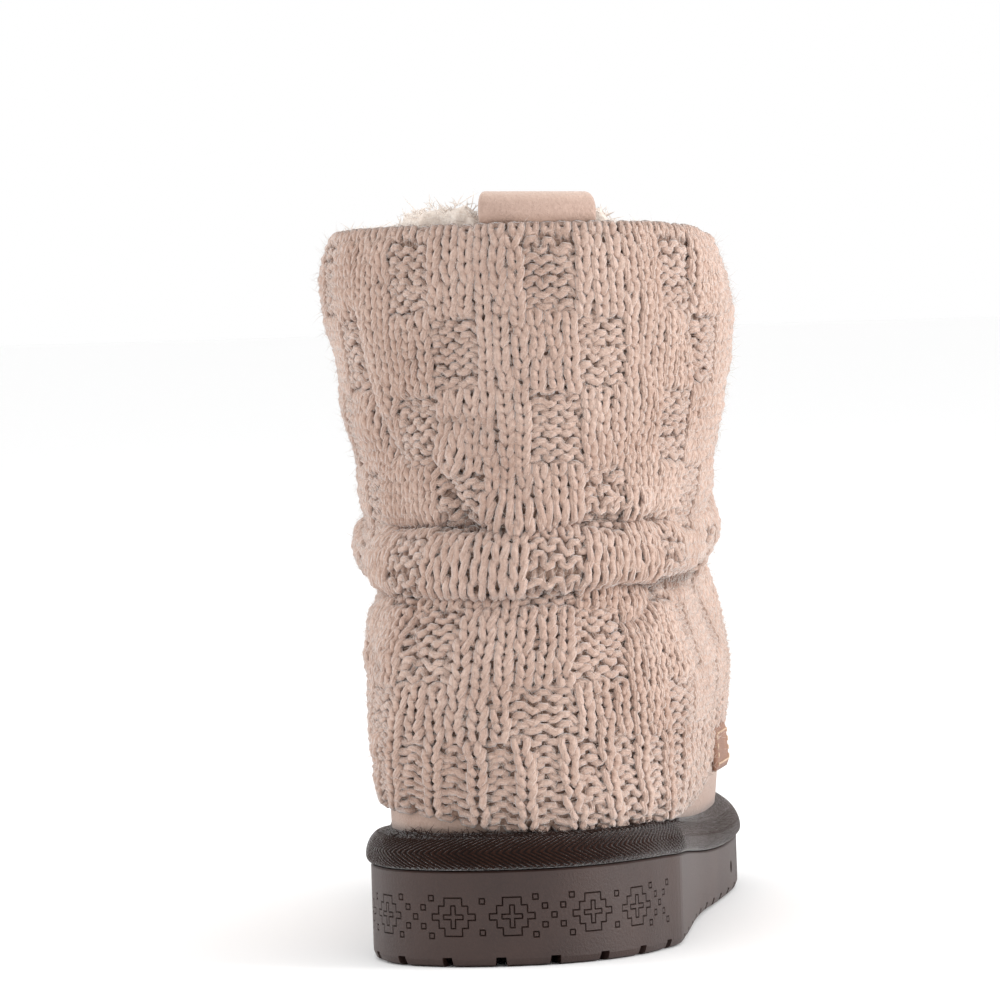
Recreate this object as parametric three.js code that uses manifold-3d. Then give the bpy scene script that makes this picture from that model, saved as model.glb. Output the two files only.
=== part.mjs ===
// A slouchy sweater-knit mukluk boot for a right foot, in millimetres, +Z up.
// The toe points along +Y and the lateral side of the foot is +X.
// The design space has the end of the heel at y = 0; the last lines move the origin
// to the middle of the bounding box's floor face.
import * as THREE from "three";
import { mergeVertices } from "three/addons/utils/BufferGeometryUtils.js";
import Module from "manifold-3d";

const wasm = await Module();
wasm.setup();

// ---------- driving dimensions ----------
const SOLE_LENGTH = 272;
const CLEARANCE = 0.3;
const AROUND = 46; // points in a ring, heel tip first, then lateral side, toe and medial side

const outsole = {
  heelThickness: 26,
  foreThickness: 15.5,
  wedgeStart: 15,
  wedgeEnd: 172,
  archFrom: 74,
  archTo: 148,
  archLift: 1.6,
  springFrom: 205,
  toeSpring: 9,
  edgeRadius: 2.2,
};
const notch = { pitch: 15, bottomWidth: 3.6, topWidth: 2.7, depth: 2.7, reach: 7 };
const tread = { width: 4, depth: 2.2, pitch: 15, edge: 13, heelFrom: 24, heelTo: 69, foreFrom: 155, foreTo: 245 };
const midsole = { thickness: 11 };
const upper = { wall: 6, inset: 6, rows: 20, followTo: 0.2, ballFrom: 0.25, ballAt: 0.72 };
const collar = { medialDip: 1.5, lateralDip: 5, dipFrom: 0.72 };
const insole = { thickness: 4.5, gap: 0.8, risePerHeight: 0.006, bottomEase: 1, topEase: 1.5 };
const sleeve = { wall: 3.2, gap: 0.4, topRise: 0.99, lip: 0.9, widestStep: 0.075, levelBelow: 0.03 };
const pocket = { full: 0.055, gone: 0.1, from: 0.8, to: 0.96 }; // where the knit makes room for the loop
const loop = {
  turn: 0.025,
  width: 30.4,
  thickness: 1.8,
  above: 7.8,
  leg: 23,
  legTop: 2.5,
  archHalf: 5.6,
  archFoot: 1.5,
  archPoints: 8,
  columns: 8,
};
const tag = { turn: 0.235, halfTurn: 0.03, low: 0.03, high: 0.13, thickness: 2.2, columns: 6 };

// The sole's plan outline: reach to each side of the heel's axis at a distance from the heel's end.
const outlineRows = [
  { along: 3, inner: 22, outer: 11.5 },
  { along: 11, inner: 33.8, outer: 24.4 },
  { along: 24, inner: 40.2, outer: 35 },
  { along: 44, inner: 42.6, outer: 41.6 },
  { along: 76, inner: 41.8, outer: 43.2 },
  { along: 110, inner: 40.6, outer: 44.4 },
  { along: 145, inner: 43.8, outer: 47.2 },
  { along: 178, inner: 49, outer: 50.2 },
  { along: 201, inner: 50.4, outer: 50.6 },
  { along: 226, inner: 47.5, outer: 46 },
  { along: 247, inner: 39.5, outer: 34 },
  { along: 261, inner: 30, outer: 20 },
  { along: 269, inner: 20, outer: 8 },
];
const heelTip = -6;
const toeTip = -6;

// The suede upper, a row for each ring that was drawn on the last, from the feather edge (rise 0)
// to the collar (rise 1): its back and front points in the boot's middle plane, its half widths
// over the heel and over the ball, how much of the sole's outline its plan keeps, and its sideways shift.
const upperRows = [
  { rise: 0, backY: 7, backZ: 37.3, frontY: 264, frontZ: 33, heel: 35.2, ball: 44.8, foot: 1, shift: 0 },
  { rise: 0.06, backY: 5.4, backZ: 47, frontY: 265.5, frontZ: 42, heel: 35.4, ball: 46, foot: 1, shift: 0 },
  { rise: 0.12, backY: 4.8, backZ: 57, frontY: 263.5, frontZ: 51.5, heel: 35.6, ball: 45.4, foot: 1, shift: 0 },
  { rise: 0.18, backY: 5, backZ: 67, frontY: 256.5, frontZ: 60, heel: 36.4, ball: 43.4, foot: 0.95, shift: 0.2 },
  { rise: 0.24, backY: 6.2, backZ: 77, frontY: 243.5, frontZ: 67.5, heel: 38, ball: 41, foot: 0.8, shift: 0.5 },
  { rise: 0.3, backY: 8, backZ: 86.5, frontY: 226, frontZ: 74.5, heel: 39.4, ball: 39.4, foot: 0.6, shift: 0.9 },
  { rise: 0.36, backY: 10, backZ: 96, frontY: 206, frontZ: 82.5, heel: 40.6, ball: 39.2, foot: 0.4, shift: 1.3 },
  { rise: 0.42, backY: 11.8, backZ: 106, frontY: 186.5, frontZ: 92.5, heel: 41.6, ball: 40.2, foot: 0.2, shift: 2 },
  { rise: 0.49, backY: 13, backZ: 117, frontY: 168, frontZ: 105, heel: 42.6, ball: 41.8, foot: 0.06, shift: 2.5 },
  { rise: 0.56, backY: 13.6, backZ: 129, frontY: 153.5, frontZ: 119, heel: 43.8, ball: 43.6, foot: 0, shift: 3 },
  { rise: 0.64, backY: 13.6, backZ: 142, frontY: 143, frontZ: 134.5, heel: 45.6, ball: 45.4, foot: 0, shift: 3.2 },
  { rise: 0.73, backY: 13, backZ: 157, frontY: 135.5, frontZ: 152, heel: 47.8, ball: 47.6, foot: 0, shift: 3.2 },
  { rise: 0.82, backY: 12, backZ: 172, frontY: 130.5, frontZ: 169, heel: 49.8, ball: 49.8, foot: 0, shift: 3 },
  { rise: 0.91, backY: 11, backZ: 187, frontY: 127.5, frontZ: 186, heel: 51.2, ball: 51.2, foot: 0, shift: 2.8 },
  { rise: 1, backY: 10, backZ: 201, frontY: 126, frontZ: 201, heel: 51.6, ball: 51.6, foot: 0, shift: 2.8 },
];

// The free hem of the knit: the rise it reaches at each turn from the heel's back round to the front.
const hemRows = [
  { turn: 0, rise: 0.006 },
  { turn: 0.1, rise: 0.012 },
  { turn: 0.156, rise: 0.022 },
  { turn: 0.2, rise: 0.036 },
  { turn: 0.23, rise: 0.056 },
  { turn: 0.26, rise: 0.095 },
  { turn: 0.29, rise: 0.15 },
  { turn: 0.33, rise: 0.23 },
  { turn: 0.38, rise: 0.31 },
  { turn: 0.44, rise: 0.375 },
  { turn: 0.5, rise: 0.4 },
];

// The knit's slouch, from the hem (0) to the collar (1): air between suede and knit at each side.
const slouchRows = [
  { up: 0, back: 0.2, medial: 0, lateral: 4.4, front: 1 },
  { up: 0.04, back: 0.6, medial: 0, lateral: 6, front: 2 },
  { up: 0.12, back: 1.5, medial: 0.2, lateral: 8.4, front: 3 },
  { up: 0.21, back: 2, medial: 0.8, lateral: 9, front: 2 },
  { up: 0.27, back: 3.2, medial: 2.8, lateral: 5.8, front: 3.4 },
  { up: 0.33, back: 2.4, medial: 2.8, lateral: 1.6, front: 2.6 },
  { up: 0.375, back: 0.6, medial: 0.4, lateral: 0.8, front: 0.8 },
  { up: 0.4, back: 2.6, medial: 1.8, lateral: 2.2, front: 2.4 },
  { up: 0.44, back: 4.6, medial: 5.2, lateral: 3.4, front: 4.6 },
  { up: 0.475, back: 3, medial: 3, lateral: 2.6, front: 3 },
  { up: 0.5, back: 0.8, medial: 0.4, lateral: 0.6, front: 0.8 },
  { up: 0.54, back: 2.2, medial: 2, lateral: 2, front: 2.4 },
  { up: 0.62, back: 2.6, medial: 0.6, lateral: 2, front: 1.4 },
  { up: 0.68, back: 2.2, medial: 2.2, lateral: 3, front: 2.6 },
  { up: 0.75, back: 2.4, medial: 1, lateral: 3.6, front: 1.6 },
  { up: 0.84, back: 2.2, medial: 2, lateral: 3.2, front: 2.4 },
  { up: 0.94, back: 1.6, medial: 2.2, lateral: 2.4, front: 1.8 },
  { up: 1, back: 0.4, medial: 0.6, lateral: 0.2, front: 0.6 },
];

// ---------- shared curves ----------
const { clamp, lerp, smoothstep } = THREE.MathUtils;

// A smooth curve through one column of a table, by cubic pieces.
function smoothColumn(rows, knot, column) {
  const slope = (a, b) => (b[column] - a[column]) / (b[knot] - a[knot]);
  const tangents = rows.map((row, i) => {
    const before = rows[Math.max(i - 1, 0)];
    const after = rows[Math.min(i + 1, rows.length - 1)];
    return slope(before, after);
  });
  return (at) => {
    const x = clamp(at, rows[0][knot], rows[rows.length - 1][knot]);
    const i = Math.max(0, rows.findIndex((row) => row[knot] >= x) - 1);
    const [a, b] = [rows[i], rows[i + 1]];
    const span = b[knot] - a[knot];
    const t = (x - a[knot]) / span;
    const hold = (1 + 2 * t) * (1 - t) ** 2 * a[column] + t * t * (3 - 2 * t) * b[column];
    const lean = t * (1 - t) ** 2 * tangents[i] - t * t * (1 - t) * tangents[i + 1];
    return hold + span * lean;
  };
}

// ---------- sole outline ----------
// The angle that stands for a distance along the sole; equal steps of it crowd at heel and toe.
const angleAt = (along) => Math.acos(1 - (2 * along) / SOLE_LENGTH);
const alongAt = (angle) => (SOLE_LENGTH * (1 - Math.cos(angle))) / 2;

function closedOutline() {
  const outer = outlineRows.map((row) => ({ angle: angleAt(row.along), x: row.outer }));
  const inner = outlineRows.map((row) => ({ angle: -angleAt(row.along), x: -row.inner })).reverse();
  const once = [...inner, { angle: 0, x: heelTip }, ...outer, { angle: Math.PI, x: toeTip }];
  const shifted = (turns) => once.map((row) => ({ angle: row.angle + turns * 2 * Math.PI, x: row.x }));
  return smoothColumn([...shifted(-1), ...once, ...shifted(1)], "angle", "x");
}
const outlineX = closedOutline();

// A point of the outline moved inwards; turn 0 is the heel's end, 0.25 lateral, 0.5 the toe.
function outlinePoint(turn, inset = 0) {
  const angle = 2 * Math.PI * (turn > 0.5 ? turn - 1 : turn);
  const step = 1e-3;
  const at = (a) => new THREE.Vector2(outlineX(a), alongAt(a));
  const along = at(angle + step).sub(at(angle - step)).normalize();
  return at(angle).add(new THREE.Vector2(-along.y, along.x).multiplyScalar(inset));
}

// ---------- heights along the sole ----------
function soleBottom(y) {
  const arch = smoothstep(y, outsole.archFrom, outsole.archFrom + 22) *
    (1 - smoothstep(y, outsole.archTo - 22, outsole.archTo));
  const spring = Math.max(0, y - outsole.springFrom) / (SOLE_LENGTH - outsole.springFrom);
  return outsole.archLift * arch + outsole.toeSpring * spring ** 2;
}

function soleTop(y) {
  const wedge = smoothstep(y, outsole.wedgeStart, outsole.wedgeEnd);
  const spring = Math.max(0, y - outsole.springFrom) / (SOLE_LENGTH - outsole.springFrom);
  return lerp(outsole.heelThickness, outsole.foreThickness, wedge) + outsole.toeSpring * spring ** 2;
}

const platformTop = (y) => soleTop(y) + CLEARANCE + midsole.thickness;

// ---------- mesh making ----------
const turns = Array.from({ length: AROUND }, (_, j) => j / AROUND);

// Triangles between rings of equal length; the rings run counter-clockwise seen from above, bottom first.
function wallFaces(rings, triangles, first) {
  for (let i = 0; i + 1 < rings; i += 1) {
    for (let j = 0; j < AROUND; j += 1) {
      const a = first + i * AROUND + j;
      const b = first + i * AROUND + ((j + 1) % AROUND);
      triangles.push([a, b, b + AROUND], [a, b + AROUND, a + AROUND]);
    }
  }
}

// A ladder of triangles across a ring, from its lateral points to the medial points beside them.
function ladderFaces(start, up, triangles) {
  const half = AROUND / 2;
  const face = (a, b, c) => triangles.push(up ? [a, b, c] : [a, c, b]);
  for (let j = 0; j < half; j += 1) {
    const [a, b] = [start + j, start + j + 1];
    const [c, d] = [start + ((AROUND - j - 1) % AROUND), start + ((AROUND - j) % AROUND)];
    if (j > 0) face(a, c, d);
    if (j + 1 < half) face(a, b, c);
  }
}

function geometryOf(points, triangles) {
  const geometry = new THREE.BufferGeometry();
  const numbers = points.flatMap((p) => [p.x, p.y, p.z]);
  geometry.setAttribute("position", new THREE.Float32BufferAttribute(numbers, 3));
  geometry.setIndex(triangles.flat());
  return geometry;
}

// A solid stacked from rings and closed below and above by ladders.
function stackedSolid(rings) {
  const triangles = [];
  wallFaces(rings.length, triangles, 0);
  ladderFaces(0, false, triangles);
  ladderFaces((rings.length - 1) * AROUND, true, triangles);
  return geometryOf(rings.flat(), triangles);
}

// A hollow shell from outer and inner rings: open below and above, with a lip joining the two walls.
function shellSolid(outerRings, innerRings) {
  return loopedSolid([...outerRings, ...[...innerRings].reverse()]);
}

// Rings whose last joins on to the first again.
function loopedSolid(rings) {
  const triangles = [];
  wallFaces(rings.length, triangles, 0);
  const last = (rings.length - 1) * AROUND;
  for (let j = 0; j < AROUND; j += 1) {
    const k = (j + 1) % AROUND;
    triangles.push([last + j, last + k, k], [last + j, k, j]);
  }
  return geometryOf(rings.flat(), triangles);
}

function toManifold(geometry) {
  const plain = geometry.clone();
  plain.deleteAttribute("normal");
  plain.deleteAttribute("uv");
  const merged = mergeVertices(plain, 1e-4);
  const mesh = new wasm.Mesh({
    numProp: 3,
    vertProperties: new Float32Array(merged.attributes.position.array),
    triVerts: new Uint32Array(merged.index.array),
  });
  return new wasm.Manifold(mesh);
}

function fromManifold(solid) {
  const mesh = solid.getMesh();
  const geometry = new THREE.BufferGeometry();
  geometry.setAttribute("position", new THREE.Float32BufferAttribute(mesh.vertProperties, 3));
  geometry.setIndex(Array.from(mesh.triVerts));
  return geometry;
}

// ---------- outsole ----------
function soleRing(inset, heightAt) {
  return turns.map((turn) => {
    const p = outlinePoint(turn, inset);
    return new THREE.Vector3(p.x, p.y, heightAt(p.y));
  });
}

function outsoleBody() {
  const r = outsole.edgeRadius;
  return stackedSolid([
    soleRing(r, (y) => soleBottom(y)),
    soleRing(0.3 * r, (y) => soleBottom(y) + 0.3 * r),
    soleRing(0, (y) => soleBottom(y) + r),
    soleRing(0, (y) => soleTop(y)),
  ]);
}

// A trapezoid bar pushed in from the sole's edge, wider at the ground.
function notchCutter(turn) {
  const p = outlinePoint(turn);
  const q = outlinePoint(turn, notch.reach);
  const shape = new THREE.Shape();
  const below = -2;
  shape.moveTo(-notch.bottomWidth / 2, below);
  shape.lineTo(notch.bottomWidth / 2, below);
  shape.lineTo(notch.topWidth / 2, notch.depth);
  shape.lineTo(-notch.topWidth / 2, notch.depth);
  shape.closePath();
  const overhang = 2;
  const bar = new THREE.ExtrudeGeometry(shape, { depth: notch.reach + overhang, bevelEnabled: false });
  const outward = new THREE.Vector3(p.x - q.x, p.y - q.y, 0).normalize();
  const up = new THREE.Vector3(0, 0, 1);
  const side = new THREE.Vector3().crossVectors(up, outward);
  const frame = new THREE.Matrix4().makeBasis(side, up, outward);
  frame.setPosition(q.x, q.y, soleBottom(p.y));
  return bar.applyMatrix4(frame);
}

// Turns at equal steps of length round the outline, starting half a step from the heel's end.
function evenTurns(pitch) {
  const samples = 720;
  const lengths = [0];
  for (let i = 1; i <= samples; i += 1) {
    const step = outlinePoint((i % samples) / samples).distanceTo(outlinePoint((i - 1) / samples));
    lengths.push(lengths[i - 1] + step);
  }
  const count = Math.round(lengths[samples] / pitch);
  return Array.from({ length: count }, (_, k) => {
    const wanted = ((k + 0.5) * lengths[samples]) / count;
    const i = lengths.findIndex((length) => length >= wanted);
    return (i - (lengths[i] - wanted) / (lengths[i] - lengths[i - 1])) / samples;
  });
}

// Straight grooves across the tread, leaving a plain border and the arch uncut.
function grooveCutter(y) {
  const width = outlineX(angleAt(y)) - outlineX(-angleAt(y)) - 2 * tread.edge;
  const middle = (outlineX(angleAt(y)) + outlineX(-angleAt(y))) / 2;
  const bar = new THREE.BoxGeometry(width, tread.width, 2 * tread.depth);
  return bar.translate(middle, y, soleBottom(y));
}

function grooveRows() {
  const between = (from, to) => Array.from({ length: Math.round((to - from) / tread.pitch) + 1 },
    (_, i) => from + i * tread.pitch);
  return [...between(tread.heelFrom, tread.heelTo), ...between(tread.foreFrom, tread.foreTo)];
}

function makeOutsole() {
  const cutters = [...evenTurns(notch.pitch).map(notchCutter), ...grooveRows().map(grooveCutter)];
  const solid = cutters.reduce((body, cutter) => body.subtract(toManifold(cutter)), toManifold(outsoleBody()));
  return fromManifold(solid);
}

// ---------- midsole ----------
// The wrapped edge: full at the bottom, rolling over to a flat top further in.
const wrapRows = [
  { inset: 0.6, height: 0 },
  { inset: -1, height: 1.6 },
  { inset: -0.6, height: 4.6 },
  { inset: 1, height: 7.8 },
  { inset: 3, height: 10 },
  { inset: 5.4, height: 11 },
];

function makeMidsole() {
  const floor = (y) => soleTop(y) + CLEARANCE;
  return stackedSolid(wrapRows.map((row) => soleRing(row.inset, (y) => floor(y) + row.height)));
}

// ---------- upper ----------
const upperColumn = Object.fromEntries(
  Object.keys(upperRows[0]).map((column) => [column, smoothColumn(upperRows, "rise", column)]),
);
const footSpan = { heel: outlinePoint(0, upper.inset).y, toe: outlinePoint(0.5, upper.inset).y };

// How far a place has come from the heel's width to the ball's.
const ballShare = (along) => smoothstep(along, upper.ballFrom, upper.ballAt);

// The plan of a ring at a turn: how far along from back to front, and how wide (1 is the half width).
function ringPlan(turn, rise) {
  const angle = 2 * Math.PI * turn;
  const round = { along: (1 - Math.cos(angle)) / 2, across: Math.sin(angle) };
  const p = outlinePoint(turn, upper.inset);
  const along = (p.y - footSpan.heel) / (footSpan.toe - footSpan.heel);
  const lowest = lerp(upperRows[0].heel, upperRows[0].ball, ballShare(along));
  const foot = { along, across: p.x / lowest };
  const share = upperColumn.foot(rise);
  return {
    along: lerp(round.along, foot.along, share),
    across: lerp(round.across, foot.across, share),
  };
}

// The suede's outer face. Its lowest ring follows the platform; higher rings are flat and tilted.
function upperPoint(turn, rise) {
  const { along, across } = ringPlan(turn, rise);
  const column = (name) => upperColumn[name](rise);
  const half = lerp(column("heel"), column("ball"), ballShare(along));
  const y = lerp(column("backY"), column("frontY"), along);
  const flat = lerp(column("backZ"), column("frontZ"), along);
  const follow = 1 - smoothstep(rise, 0, upper.followTo);
  const onPlatform = platformTop(y) + CLEARANCE + (flat - lerp(upperRows[0].backZ, upperRows[0].frontZ, along));
  const z = lerp(flat, onPlatform, follow) - collarDip(turn, rise);
  return new THREE.Vector3(half * across + column("shift"), y, z);
}

// The collar sags between its back and its front, more on the lateral side.
function collarDip(turn, rise) {
  const side = Math.sin(2 * Math.PI * turn);
  const depth = side > 0 ? collar.lateralDip : collar.medialDip;
  return depth * side ** 2 * smoothstep(rise, collar.dipFrom, 1);
}

function upperNormal(turn, rise) {
  const step = 2e-3;
  const round = (t) => (t + 1) % 1;
  const [low, high] = [Math.max(rise - step, 0), Math.min(rise + step, 1)];
  const along = upperPoint(round(turn + step), rise).sub(upperPoint(round(turn - step), rise));
  const up = upperPoint(turn, high).sub(upperPoint(turn, low));
  return along.cross(up).normalize();
}

// A ring at an offset from the suede's face, measured along its normal; level rings stay in their plane.
function offsetPoint(turn, rise, offset, level = false) {
  const normal = upperNormal(turn, rise);
  if (level) {
    normal.z = 0;
    normal.normalize();
  }
  return upperPoint(turn, rise).addScaledVector(normal, offset);
}

function upperRing(rise, offset) {
  const level = rise === 0 || rise === 1;
  return turns.map((turn) => offsetPoint(turn, rise, offset, level));
}

function makeUpper() {
  const rises = Array.from({ length: upper.rows }, (_, i) => i / (upper.rows - 1));
  return shellSolid(
    rises.map((rise) => upperRing(rise, 0)),
    rises.map((rise) => upperRing(rise, -upper.wall)),
  );
}

// ---------- insole ----------
function insoleRing(height, inset) {
  return turns.map((turn) => {
    const rise = height * insole.risePerHeight;
    const p = offsetPoint(turn, rise, -upper.wall - insole.gap - inset, true);
    return new THREE.Vector3(p.x, p.y, platformTop(p.y) + CLEARANCE + height);
  });
}

function makeInsole() {
  const { thickness, bottomEase, topEase } = insole;
  return stackedSolid([
    insoleRing(0, bottomEase),
    insoleRing(bottomEase, 0),
    insoleRing(thickness - bottomEase, 0),
    insoleRing(thickness, topEase),
  ]);
}

// ---------- knit sleeve ----------
const hemRise = smoothColumn(hemRows, "turn", "rise");
const slouch = Object.fromEntries(
  ["back", "medial", "lateral", "front"].map((side) => [side, smoothColumn(slouchRows, "up", side)]),
);

// The air between suede and knit, with a pocket at the back for the pull loop's outer leg.
function slouchAt(turn, up) {
  const around = Math.cos(2 * Math.PI * turn);
  const back = Math.max(0, around) ** 2;
  const front = Math.max(0, -around) ** 2;
  const side = turn < 0.5 ? slouch.lateral(up) : slouch.medial(up);
  const air = back * slouch.back(up) + front * slouch.front(up) + (1 - back - front) * side;
  return sleeve.gap + Math.max(0, air) + loopPocket(turn, up);
}

function loopPocket(turn, up) {
  const fromLoop = Math.min(Math.abs(turn - loop.turn), 1 - Math.abs(turn - loop.turn));
  const beside = 1 - smoothstep(fromLoop, pocket.full, pocket.gone);
  const above = smoothstep(up, pocket.from, pocket.to);
  return loop.thickness * beside * above;
}

// A point of the knit, from its hem (up 0) to the collar (up 1), at a distance from its inner face.
function sleevePoint(turn, up, extra) {
  const rise = lerp(hemRise(Math.min(turn, 1 - turn)), sleeve.topRise, up);
  return offsetPoint(turn, rise, slouchAt(turn, up) + extra, up === 1 || rise < sleeve.levelBelow);
}

const sleeveRing = (up, extra) => turns.map((turn) => sleevePoint(turn, up, extra));

// A ring at every row of the slouch table, and one between rows that lie far apart.
function sleeveUps() {
  return slouchRows.flatMap((row, i) => {
    const next = slouchRows[i + 1];
    const far = next && next.up - row.up > sleeve.widestStep;
    return far ? [row.up, (row.up + next.up) / 2] : [row.up];
  });
}

function makeSleeve() {
  const ups = sleeveUps();
  const lip = (up) => (up === 0 || up === 1 ? sleeve.lip : 0);
  return shellSolid(
    ups.map((up) => sleeveRing(up, sleeve.wall - lip(up))),
    ups.map((up) => sleeveRing(up, lip(up))),
  );
}

// ---------- pull loop ----------
// The strap's middle line as offset from the suede's face and height over the collar:
// up the outer leg, over the collar in an arch, and down the inner leg.
function loopLine() {
  const half = loop.thickness / 2;
  const outer = half + CLEARANCE;
  const inner = -upper.wall - half - CLEARANCE;
  const middle = (outer + inner) / 2;
  const rise = loop.above - half - loop.archFoot;
  const arch = Array.from({ length: loop.archPoints + 1 }, (_, i) => {
    const angle = (i * Math.PI) / loop.archPoints;
    return [middle + loop.archHalf * Math.cos(angle), loop.archFoot + rise * Math.sin(angle)];
  });
  const legs = (side) => [[side, -loop.leg], [side, -loop.leg / 2], [side, -loop.legTop]];
  const line = [...legs(outer), ...arch, ...legs(inner).reverse()];
  return line.map(([offset, height]) => new THREE.Vector2(offset, height));
}

// The line thickened to a closed section: one side forwards, the other side back.
function thickened(line, thickness) {
  const side = (sign) => line.map((p, i) => {
    const before = line[Math.max(i - 1, 0)];
    const after = line[Math.min(i + 1, line.length - 1)];
    const along = after.clone().sub(before).normalize();
    return p.clone().addScaledVector(new THREE.Vector2(along.y, -along.x), (sign * thickness) / 2);
  });
  return [...side(1), ...side(-1).reverse()];
}

// A place near the back of the collar, by offset from the suede and height over the collar's edge.
function collarPoint(turn, offset, height) {
  const top = upperRows[upperRows.length - 1];
  const before = upperRows[upperRows.length - 2];
  const risePerHeight = (top.rise - before.rise) / (top.backZ - before.backZ);
  const p = offsetPoint((turn + 1) % 1, 1 + Math.min(0, height) * risePerHeight, offset, true);
  return height > 0 ? p.setZ(p.z + height) : p;
}

// A closed section carried along a row of stations and capped at both ends.
function sweptSolid(stations) {
  const count = stations[0].length;
  const triangles = [];
  for (let i = 0; i + 1 < stations.length; i += 1) {
    for (let j = 0; j < count; j += 1) {
      const a = i * count + j;
      const b = i * count + ((j + 1) % count);
      triangles.push([a, b, b + count], [a, b + count, a + count]);
    }
  }
  const end = (stations.length - 1) * count;
  for (let j = 0; j + 1 < count / 2; j += 1) {
    const [a, b, c, d] = [j, j + 1, count - 2 - j, count - 1 - j];
    triangles.push([a, c, b], [a, d, c], [end + a, end + b, end + c], [end + a, end + c, end + d]);
  }
  return geometryOf(stations.flat(), triangles);
}

function makeLoop() {
  const section = thickened(loopLine(), loop.thickness);
  const radius = upperColumn.ball(1);
  const halfTurn = loop.width / 2 / radius / (2 * Math.PI);
  const stations = Array.from({ length: loop.columns }, (_, i) => {
    const turn = loop.turn + lerp(halfTurn, -halfTurn, i / (loop.columns - 1));
    return section.map((p) => collarPoint(turn, p.x, p.y));
  });
  return sweptSolid(stations);
}

// ---------- side tag ----------
function makeTag() {
  const rows = [tag.low, lerp(tag.low, tag.high, 0.5), tag.high];
  const under = sleeve.wall + CLEARANCE;
  const stations = Array.from({ length: tag.columns }, (_, i) => {
    const turn = tag.turn + lerp(tag.halfTurn, -tag.halfTurn, i / (tag.columns - 1));
    const face = (extra) => rows.map((up) => sleevePoint(turn, up, under + extra));
    return [...face(tag.thickness), ...face(0).reverse()];
  });
  return sweptSolid(stations);
}

// ---------- the boot ----------
function named(name, geometry, color, roughness) {
  const material = new THREE.MeshStandardMaterial({ color, roughness, metalness: 0 });
  const mesh = new THREE.Mesh(geometry, material);
  mesh.name = name;
  return mesh;
}

const boot = new THREE.Group();
boot.add(
  named("outsole", makeOutsole(), 0x5b504a, 0.75),
  named("midsole", makeMidsole(), 0x33251f, 0.9),
  named("insole", makeInsole(), 0xe8ddcf, 0.95),
  named("upper", makeUpper(), 0xb08f7e, 0.9),
  named("knit_sleeve", makeSleeve(), 0xc8af9f, 0.95),
  named("pull_loop", makeLoop(), 0xc9a48f, 0.9),
  named("side_tag", makeTag(), 0xa57860, 0.6),
);

// Origin at the middle of the footprint, on the floor.
const box = new THREE.Box3().setFromObject(boot);
const middle = box.getCenter(new THREE.Vector3());
boot.position.set(-middle.x, -middle.y, -box.min.z);

export default boot;
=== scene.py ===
import math

import bpy
import numpy as np
from mathutils import Matrix, Vector


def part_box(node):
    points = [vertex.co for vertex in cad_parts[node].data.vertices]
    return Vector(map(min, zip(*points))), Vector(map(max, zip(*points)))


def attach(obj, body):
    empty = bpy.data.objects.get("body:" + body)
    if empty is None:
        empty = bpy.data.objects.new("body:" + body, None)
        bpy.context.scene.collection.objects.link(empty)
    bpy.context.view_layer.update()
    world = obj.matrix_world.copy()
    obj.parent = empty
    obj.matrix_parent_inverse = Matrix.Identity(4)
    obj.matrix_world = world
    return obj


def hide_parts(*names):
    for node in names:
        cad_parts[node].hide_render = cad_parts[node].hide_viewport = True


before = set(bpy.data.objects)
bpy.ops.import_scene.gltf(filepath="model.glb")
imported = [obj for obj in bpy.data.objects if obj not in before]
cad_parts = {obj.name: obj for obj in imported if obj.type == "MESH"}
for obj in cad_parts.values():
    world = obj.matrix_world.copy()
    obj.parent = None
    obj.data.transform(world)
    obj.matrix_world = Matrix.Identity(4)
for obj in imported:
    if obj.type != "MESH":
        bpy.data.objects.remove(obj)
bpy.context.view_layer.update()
scene = bpy.context.scene

# The boot is worked out in millimetres with the end of the heel at y = 0, the toe along +y
# and the little-toe side at +x, then put into the frame in metres.
mm = 0.001

# The boot's main sizes on its last, and the wedge of the sole.
last = dict(soleLength=272.0, clearance=0.3, heelTip=-6.0, toeTip=-6.0, suedeInset=6.0, suedeWall=6.0,
            followTo=0.2, ballFrom=0.25, ballAt=0.72, medialDip=1.5, lateralDip=5.0, dipFrom=0.72)
wedge = dict(heelThickness=26.0, foreThickness=15.5, wedgeStart=15.0, wedgeEnd=172.0,
             archFrom=74.0, archTo=148.0, archEase=22.0, archLift=0.5,
             springFrom=205.0, toeSpring=9.0, platform=11.0)

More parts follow.
